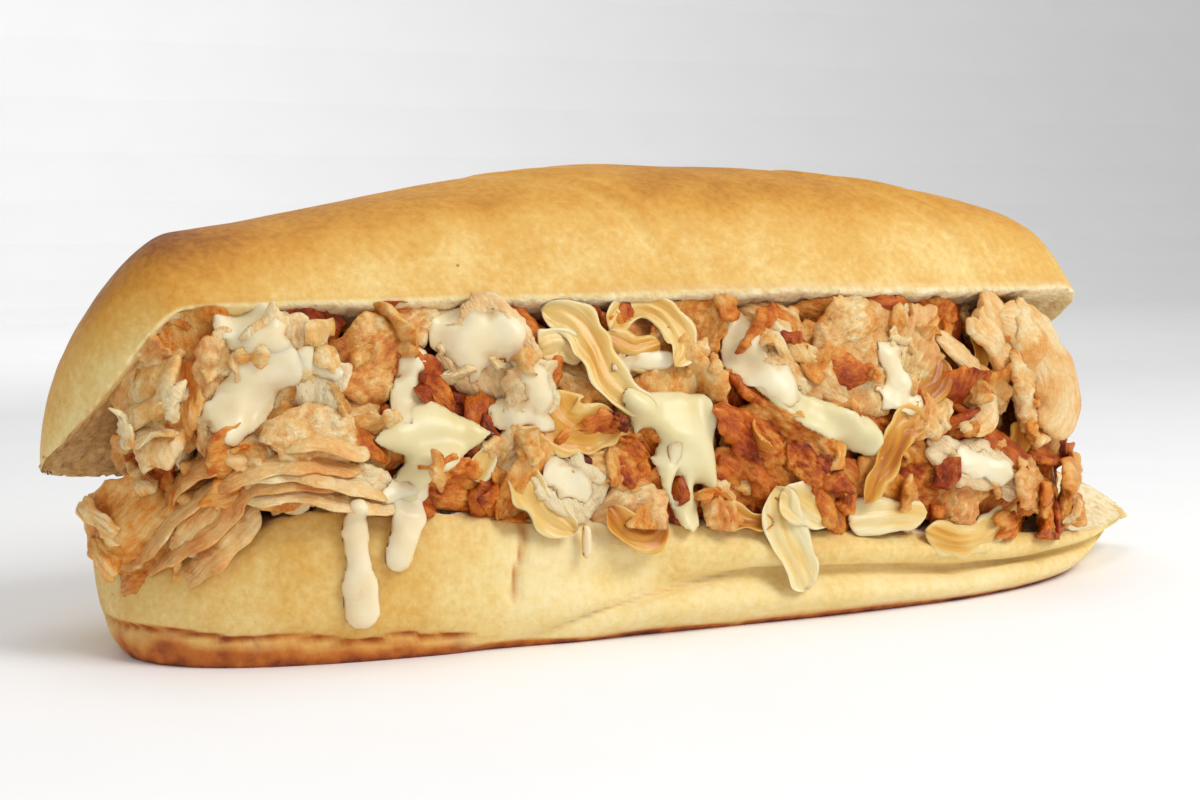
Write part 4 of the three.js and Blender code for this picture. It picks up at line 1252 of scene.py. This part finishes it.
def puddle(bm, trees, outline, thick, bridge, seed, step=0.55, ripple=0.5, skirt=0.0, proud=0.0):
    """Adds a closed puddle to a bmesh and gives its middle depth.

    bridge is how often the depths are softened, a skirt thins the border out, and proud lifts it all.
    """
    film = bm.verts.layers.float.get("film") or bm.verts.layers.float.new("film")
    blobs, polygon, holes = outline
    reach = [(b[0], b[1], b[4]) for b in blobs] + [(b[2], b[3], b[4]) for b in blobs]
    reach += [(cx, cz, 1) for cx, cz in polygon or []]
    low = [min(r[i] - r[2] for r in reach) - PUDDLE_MARGIN for i in (0, 1)]
    high = [max(r[i] + r[2] for r in reach) + PUDDLE_MARGIN for i in (0, 1)]
    columns, rows = (max(4, int((h - l) / step)) for l, h in zip(low, high))
    across, upward = (np.linspace(l, h, n + 1) for l, h, n in zip(low, high, (columns, rows)))
    gx, gz = np.meshgrid(across, upward, indexing="ij")
    seen = np.stack([gx.ravel(), gz.ravel()], -1)
    wave = np.stack([seen[:, 0], 0 * seen[:, 0], seen[:, 1]], -1)
    ragged = grain(wave, 3.2, seed) + 0.5 * grain(wave, 1.5, seed + 2)
    inside = field(seen, blobs, polygon, holes) + ripple * ragged
    depth = np.empty(len(seen))
    for i, (sx, sz) in enumerate(seen):
        met = first_hit(trees, sx, sz)
        depth[i] = min(met[0] if met else 99, on_front(sx, sz, 0)[1])
    depth = soften(depth.reshape(gx.shape), bridge) - proud
    slope = np.gradient(inside.reshape(gx.shape), gx[1, 0] - gx[0, 0], gz[0, 1] - gz[0, 0])
    slope = np.stack([s.ravel() for s in slope], -1)
    steep = np.maximum((slope**2).sum(-1), 0.15)
    near = np.clip(np.where(inside < PUDDLE_BORDER, -inside, 0), -step, step)
    seen = seen + slope * (near / steep)[:, None]
    swell = np.sqrt(np.clip(1 - (1 - np.clip(inside, 0, 1.6 * thick) / (1.6 * thick)) ** 2, 0, 1))
    if skirt:
        swell = smooth(inside, -0.6 * skirt, skirt) - smooth(0, -0.6 * skirt, skirt)
    swell = np.where(inside < PUDDLE_BORDER, swell * smooth(inside, 0, PUDDLE_BORDER), swell)
    swell = swell * (1 + 0.25 * grain(wave, 5, seed + 1))
    kept = inside > -0.75 * step
    shape = (columns + 1, rows + 1)
    for reach in (-thick, BACK_SINK):
        points = np.stack([seen[:, 0], depth.ravel() + reach * swell, seen[:, 1]], -1)
        points = points.reshape(*shape, 3)
        verts, column, row = lay_grid(bm, columns, rows, lambda c, r: points[c, r])
        for vert, amount in zip(verts, swell.reshape(shape)[column, row]):
            vert[film] = amount
        lost = ~kept.reshape(shape)[column, row]
        bmesh.ops.delete(bm, geom=[v for v, gone in zip(verts, lost) if gone], context="VERTS")
    return float(np.median(depth))


def settle(bm):
    """Welds the sheets' borders, drops loose ends and rounds the rest."""
    bmesh.ops.remove_doubles(bm, verts=bm.verts, dist=0.02)
    loose = [v for v in bm.verts if not v.link_faces]
    bmesh.ops.delete(bm, geom=loose, context="VERTS")
    relax(bm, bm.verts, 3)
    return mesh_of(bm)


# %% [markdown]
# The cheese went on in slices and has begun to melt: straight sides and corners still show, with
# tongues where it runs and a hole or two. Each outline is a polygon with round corners, joined to
# capsules. It bridges the gaps under it, so its depths are softened more than the sauce's.

# %% Melting cheese
CHEESE_THICKNESS, CHEESE_BRIDGE = 1.7, 10
SHREDDED = (under_mesh, left_mesh, right_mesh)
CHEESES = {
    # capsules, corners of the polygon, holes
    "cheese_left": (
        [(-57, 31, -60, 26, 2.2)],
        [(-66, 33.6), (-55.5, 28), (-45, 33.8), (-55.8, 39.6)],
        [],
    ),
    "cheese_middle": (
        [
            (-13, 25, -12.3, 18.5, 1.9),
            (-19, 34, -16, 25, 1.7),
            (-16, 25, -13.5, 19, 1.4),
            (-22, 38, -14, 36, 2),
        ],
        [(-18.5, 26.5), (-7.3, 22.5), (-7.2, 38.3), (-24.5, 39.3)],
        [(-19.3, 31, 1.7, 2.3), (-14.4, 23.4, 1, 2.6)],
    ),
    "cheese_right": (
        [(3, 40, 9, 35, 2.6), (14, 33, 22, 28.5, 2.2)],
        [(1.5, 38), (6.8, 32.5), (14.5, 28.8), (22.4, 25.9), (25.3, 29.1), (24.3, 32.5), (8.7, 38.4)],
        [],
    ),
}
food_trees = [tree_of(mesh) for mesh in (*SHREDDED, folds_mesh, onion_mesh)]
cheese_meshes = {}
for number, (name, outline) in enumerate(CHEESES.items()):
    sheet = bmesh.new()
    middle = puddle(
        sheet, food_trees, outline, CHEESE_THICKNESS, CHEESE_BRIDGE, 60 + number, ripple=0.25, proud=0.6
    )
    cheese_meshes[name] = settle(sheet)
    low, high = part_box(name)
    solid = [round(v / MM, 1) for v in (low.y, high.y)]
    print(name, "lies at Y", round(middle, 1), "and its solid at", solid)

# %% [markdown]
# ### Melted white cheese
# A mild white cheese, pressed, sliced and then melted: even and smooth, with a soft sheen where fat
# has come to the surface and faint clouds in its colour. Light goes some way into it.

# %% Cheese material
FAT = [(0, "DDC682"), (1, "EBE0B6"), (0.45, "E5D6A2"), (0.6, "E8DBAC")]
cheese, tree, shader, coords = material("melted_white_cheese")
cloud = add(tree, "TexNoise", {"Vector": coords, "Scale": per_metre(9), "Detail": 3})
dent = add(tree, "TexNoise", {"Vector": coords, "Scale": per_metre(3), "Detail": 2})
connect(
    tree,
    shader,
    {
        "Base Color": add(tree, "ValToRGB", {"Fac": cloud}, stops=FAT),
        "Roughness": add(tree, "MapRange", {"Value": cloud, "To Min": 0.28, "To Max": 0.45}),
        "Normal": add(tree, "Bump", {"Height": dent, "Strength": 0.15, "Distance": 0.5 * MM}),
        "IOR": 1.45,
        "Subsurface Weight": 0.3,
        "Subsurface Radius": (1.0, 0.8, 0.45),
        "Subsurface Scale": 3 * MM,
    },
)
cheese_trees = []
for name, mesh in cheese_meshes.items():
    finish_piece("melted_" + name, mesh, cheese, [name], "cheese")
    cheese_trees.append(tree_of(mesh))

# %% [markdown]
# The sauce was squeezed over the heap and has sunk in at its borders, so each spot thins out in a
# ragged skirt. Its outlines are capsules along the way it ran.

# %% Creamy sauce on the heap
SUNK_IN = 0.6  # the share of its thickness that is left above the meat
SAUCE = [
    # capsules, thickness, bridging
    ([(-84, 51.5, -83, 50, 3.2), (-80, 51.5, -79.5, 48.5, 3.4)], 2.4, 4),
    ([(-85, 37.5, -79, 44.5, 4.2), (-79, 45, -78, 46, 2.6)], 2.0, 6),
    ([(-74, 45.5, -70.5, 44, 2.4)], 1.4, 4),
    ([(-56.5, 45, -59.7, 38, 2.3)], 1.8, 5),
    ([(-50, 49.5, -42, 48.5, 3.6), (-49, 46, -47, 44, 2.4)], 1.8, 6),
    ([(-40, 44, -37.5, 38, 2.6), (-44, 36.5, -37, 35, 2)], 1.7, 5),
    ([(-1.2, 51, 2, 44, 2.4), (0, 43, 6, 39, 3.2)], 1.8, 6),
    ([(27.7, 43.4, 30, 38, 2.6), (27, 36, 32, 35.5, 2.2)], 1.8, 5),
    ([(43, 24.5, 49, 22.5, 3)], 1.4, 4),
    ([(-23, 43, -14, 43.4, 1.6)], 1.3, 5),
    ([(-36, 27, -32, 24.5, 2.6)], 1.3, 4),
    ([(-63, 25.5, -58, 25.5, 1.9)], 1.4, 5),
    ([(-15.5, 30, -17, 24, 1.3)], 1.2, 5),
]
sauce = bmesh.new()
for number, (capsules, thick, bridge) in enumerate(SAUCE):
    puddle(
        sauce,
        food_trees + cheese_trees,
        (capsules, None, []),
        SUNK_IN * thick,
        bridge,
        80 + number,
        ripple=1.3,
        skirt=2.6,
        proud=0.1,
    )
sauce_mesh = settle(sauce)
print("spots of sauce:", len(SAUCE))

# %% [markdown]
# On the bread the sauce has stood still and kept a round border, thickest in the drop at the bottom.

# %% Runs of sauce down the bread
DRIP_THICKNESS, DRIP_BRIDGE = 1.5, 4
DRIPS = [
    [(-68.2, 24, -68.2, 20, 1.6), (-68.2, 20, -67.6, 12, 1.9), (-67.6, 12, -67.4, 8, 2.7)],
    [(-59.6, 26, -60.2, 22, 2.5), (-60.2, 22, -61.8, 16, 2.3)],
    [(-31.4, 18.5, -31.4, 14.5, 0.8)],
]
drips = bmesh.new()
for number, capsules in enumerate(DRIPS):
    puddle(
        drips,
        [bread_tree] + food_trees,
        (capsules, None, []),
        DRIP_THICKNESS,
        DRIP_BRIDGE,
        100 + number,
        step=0.4,
        ripple=0.12,
    )
drips_mesh = settle(drips)
print("runs of sauce:", len(DRIPS))

# %% [markdown]
# ### Creamy sauce
# Whipped egg and oil, thinned and seasoned: opaque, off-white and glossy, with a rare speck of pepper.
# Where the film is thin the meat tints it, which the film attribute from the puddle tells.

# %% Sauce material
CREAM = [(0, "E8CC9C"), (1, "F7EACB"), (0.42, "EFDCB2"), (0.6, "F3E4C0")]
sauce_look, tree, shader, coords = material("creamy_mayonnaise_sauce")
film_in = add(tree, "Attribute", attribute_name="film").outputs["Fac"]
swirl = add(tree, "TexNoise", {"Vector": coords, "Scale": per_metre(6), "Detail": 3, "Distortion": 0.5})
cream = add(tree, "ValToRGB", {"Fac": swirl}, stops=CREAM)
pepper_cells = add(tree, "TexVoronoi", {"Vector": coords, "Scale": per_metre(7)})
pepper = add(
    tree, "MapRange", {"Value": pepper_cells, "From Min": 0.05, "From Max": 0.035, "To Max": 0.7}
)
peppered = add(tree, "Mix", {0: pepper, 6: cream, 7: colour("6B4A2A")}, data_type="RGBA").outputs[2]
cover = add(tree, "Math", {0: swirl, 1: 0.4, 2: film_in}, operation="MULTIPLY_ADD")
cover = add(tree, "MapRange", {"Value": cover, "From Min": 0.2, "From Max": 0.6})
thinned = add(tree, "Mix", {0: cover, 6: colour("DDB47A"), 7: peppered}, data_type="RGBA").outputs[2]
dent = add(tree, "TexNoise", {"Vector": coords, "Scale": per_metre(2.5), "Detail": 2})
connect(
    tree,
    shader,
    {
        "Base Color": thinned,
        "Roughness": add(tree, "MapRange", {"Value": swirl, "To Min": 0.22, "To Max": 0.4}),
        "Normal": add(tree, "Bump", {"Height": dent, "Strength": 0.12, "Distance": 0.4 * MM}),
        "IOR": 1.45,
        "Subsurface Weight": 0.3,
        "Subsurface Radius": (1.0, 0.75, 0.5),
        "Subsurface Scale": 2 * MM,
    },
)
finish_piece("cream_sauce", sauce_mesh, sauce_look, ["filling"], "cheese")
finish_piece("sauce_drips", drips_mesh, sauce_look, ["roll"], "cheese")

# %% [markdown]
# Chopping leaves small torn shreds and crumbs all over the slices. A ray from the front finds the
# slice each one lies on; shreds are small slices laid on it at a slant, crumbs are dented balls.

# %% Shreds and crumbs of chicken
crumb_ball = bmesh.new()
bmesh.ops.create_icosphere(crumb_ball, subdivisions=2, radius=1)
crumb_ball.verts.index_update()
BALL_POINTS = np.array([v.co for v in crumb_ball.verts])
BALL_FACES = [[v.index for v in f.verts] for f in crumb_ball.faces]
crumb_ball.free()
SHRED_BLANK = shell(8, 5)
CRUMB_TRIES = 130
CRUMB_X, CRUMB_Z = (-102, 70), (13, 52)
crumbs = Joined("brown", "sauced", "lay")
shown_trees = food_trees + cheese_trees + [tree_of(sauce_mesh)]
for number in range(CRUMB_TRIES):
    px, pz = dice.uniform(*CRUMB_X), dice.uniform(*CRUMB_Z)
    met = first_hit(shown_trees, px, pz)
    rim = cut_lines(np.array([station_of(BASE_ENDS, px)]))[0][0, 2]
    if met is None or met[2] >= len(SHREDDED) or pz < rim + 1:
        continue
    depth, outward, owner, face = met
    mesh = SHREDDED[owner]
    corner = mesh.polygons[face].vertices[0]
    tone = mesh.attributes["brown"].data[corner].value + dice.gauss(0, 0.08)
    at = np.array((px, depth, pz))
    if number % 4:
        size = (dice.uniform(4, 8), dice.uniform(2.2, 4), dice.uniform(0.2, 0.5))
        curl, twist, clump = dice.gauss(0, 0.9), dice.gauss(0, 0.6), dice.random()
        points, brown, lay = torn_slice(SHRED_BLANK, *size, curl, twist, number, clump)
        slant = outward + np.array([dice.gauss(0, 0.35) for _ in range(3)])
        points = faced(points, at + 0.2 * outward, slant, dice.uniform(-1.6, 1.6))
        crumbs.take(tucked(points), SHRED_BLANK[3], brown=tone + brown, sauced=0, lay=lay)
    else:
        size = np.array([dice.uniform(0.5, 1.2) * dice.uniform(0.7, 1.3) for _ in range(3)])
        points = BALL_POINTS * (1 + 0.5 * grain(BALL_POINTS, 0.8, number))[:, None] * size
        points = faced(points, at, outward, dice.uniform(0, 3))
        crumbs.take(tucked(points), BALL_FACES, brown=tone, sauced=0, lay=points)
finish_piece("chicken_crumbs", crumbs.mesh(), chicken, *HEAP)

# %% [markdown]
# ## Floor, light and camera
# The food stands on a roll of white paper that curves up behind it, so there is no line at the back.
# Uncoated paper is matt and almost even, so its finish is a faint cloud of two whites.

# %% Floor
# The floor is large, so these are in metres.
FLOOR_HALF, CURVE_START = 2, 0.9
CURVE_STEPS, CURVE_STEP, WALL_STRETCH = 12, 0.06, 14
floor_bm = bmesh.new()
bmesh.ops.create_grid(floor_bm, x_segments=1, y_segments=1, size=FLOOR_HALF)
far_edge = [e for e in floor_bm.edges if all(v.co.y > 1 for v in e.verts)]
for vert in {v for e in far_edge for v in e.verts}:
    vert.co.y = CURVE_START
for step in range(1, CURVE_STEPS + 1):
    raised = bmesh.ops.extrude_edge_only(floor_bm, edges=far_edge)["geom"]
    far_edge = [g for g in raised if isinstance(g, bmesh.types.BMEdge)]
    turn = math.radians(90 / CURVE_STEPS * step)
    for vert in {v for e in far_edge for v in e.verts}:
        vert.co.y += CURVE_STEP * math.cos(turn)
        vert.co.z += CURVE_STEP * math.sin(turn) * (1 if step < CURVE_STEPS else WALL_STRETCH)
bmesh.ops.recalc_face_normals(floor_bm, faces=floor_bm.faces)
floor_mesh = bpy.data.meshes.new("floor")
floor_bm.to_mesh(floor_mesh)
floor_bm.free()
floor_look, tree, shader, coords = material("white_paper_backdrop")
tooth = add(tree, "TexNoise", {"Vector": coords, "Scale": per_metre(40)})
paper = add(tree, "ValToRGB", {"Fac": tooth}, stops=[(0, "FAFAFA"), (1, "FFFFFF")])
connect(tree, shader, {"Base Color": paper, "Roughness": 0.9, "Specular IOR Level": 0.1})
floor_mesh.materials.append(floor_look)
floor = bpy.data.objects.new("floor", floor_mesh)
bpy.context.scene.collection.objects.link(floor)
print("floor faces:", len(floor_mesh.polygons))

# %% [markdown]
# A large softbox stands to the front and right, so the left end falls into soft shade. Weaker ones
# lift the shade and the crown, one brightens the paper, and a white world fills the rest.

# %% Light
WORLD_STRENGTH = 0.42
scene = bpy.context.scene
scene.view_settings.view_transform = "Standard"
world = bpy.data.worlds.new("bright_room")
world.use_nodes = True
sky = world.node_tree.nodes["Background"]
connect(world.node_tree, sky, {"Color": (1, 1, 1, 1), "Strength": WORLD_STRENGTH})
scene.world = world
SOFTBOXES = [
    # name, place in mm, side in mm, watts
    ("key_softbox", (380, -540, 620), 420, 4.7),
    ("fill_softbox", (-430, -470, 320), 400, 0.3),
    ("top_softbox", (-60, 60, 800), 500, 1.2),
    ("backdrop_softbox", (0, 450, 650), 500, 3.0),
]
for name, place, side, watts in SOFTBOXES:
    lamp = bpy.data.lights.new(name, "AREA")
    lamp.shape, lamp.size, lamp.energy = "SQUARE", side * MM, watts
    light = bpy.data.objects.new(name, lamp)
    light.location = Vector(place) * MM
    light.rotation_mode = "QUATERNION"
    aim = Vector((0, 1500, 500)) if name.startswith("backdrop") else Vector((0, 0, 30))
    light.rotation_quaternion = (aim * MM - light.location).to_track_quat("-Z", "Y")
    scene.collection.objects.link(light)
print("lights:", len(SOFTBOXES))

# %% [markdown]
# The camera looks from the front left, a little above the floor. An angle round the part, one above
# the floor, a distance and a target are easier to fit to a view than a place and a rotation.

# %% Camera
AZIMUTH, ELEVATION, DISTANCE = math.radians(-25), math.radians(5.5), 339.2
TARGET = Vector((-12.2, 0, 34.5))
SENSOR, FOCAL_LENGTH = 36, 58.05
back_way = Vector(
    (
        math.sin(AZIMUTH) * math.cos(ELEVATION),
        -math.cos(AZIMUTH) * math.cos(ELEVATION),
        math.sin(ELEVATION),
    )
)
lens = bpy.data.cameras.new("camera")
lens.sensor_width, lens.lens = SENSOR, FOCAL_LENGTH
lens.clip_start = 0.01
camera = bpy.data.objects.new("camera", lens)
camera.location = (TARGET + back_way * DISTANCE) * MM
camera.rotation_mode = "QUATERNION"
camera.rotation_quaternion = (-back_way).to_track_quat("-Z", "Y")
scene.collection.objects.link(camera)
scene.camera = camera
print("camera at", [round(v / MM) for v in camera.location], "mm")
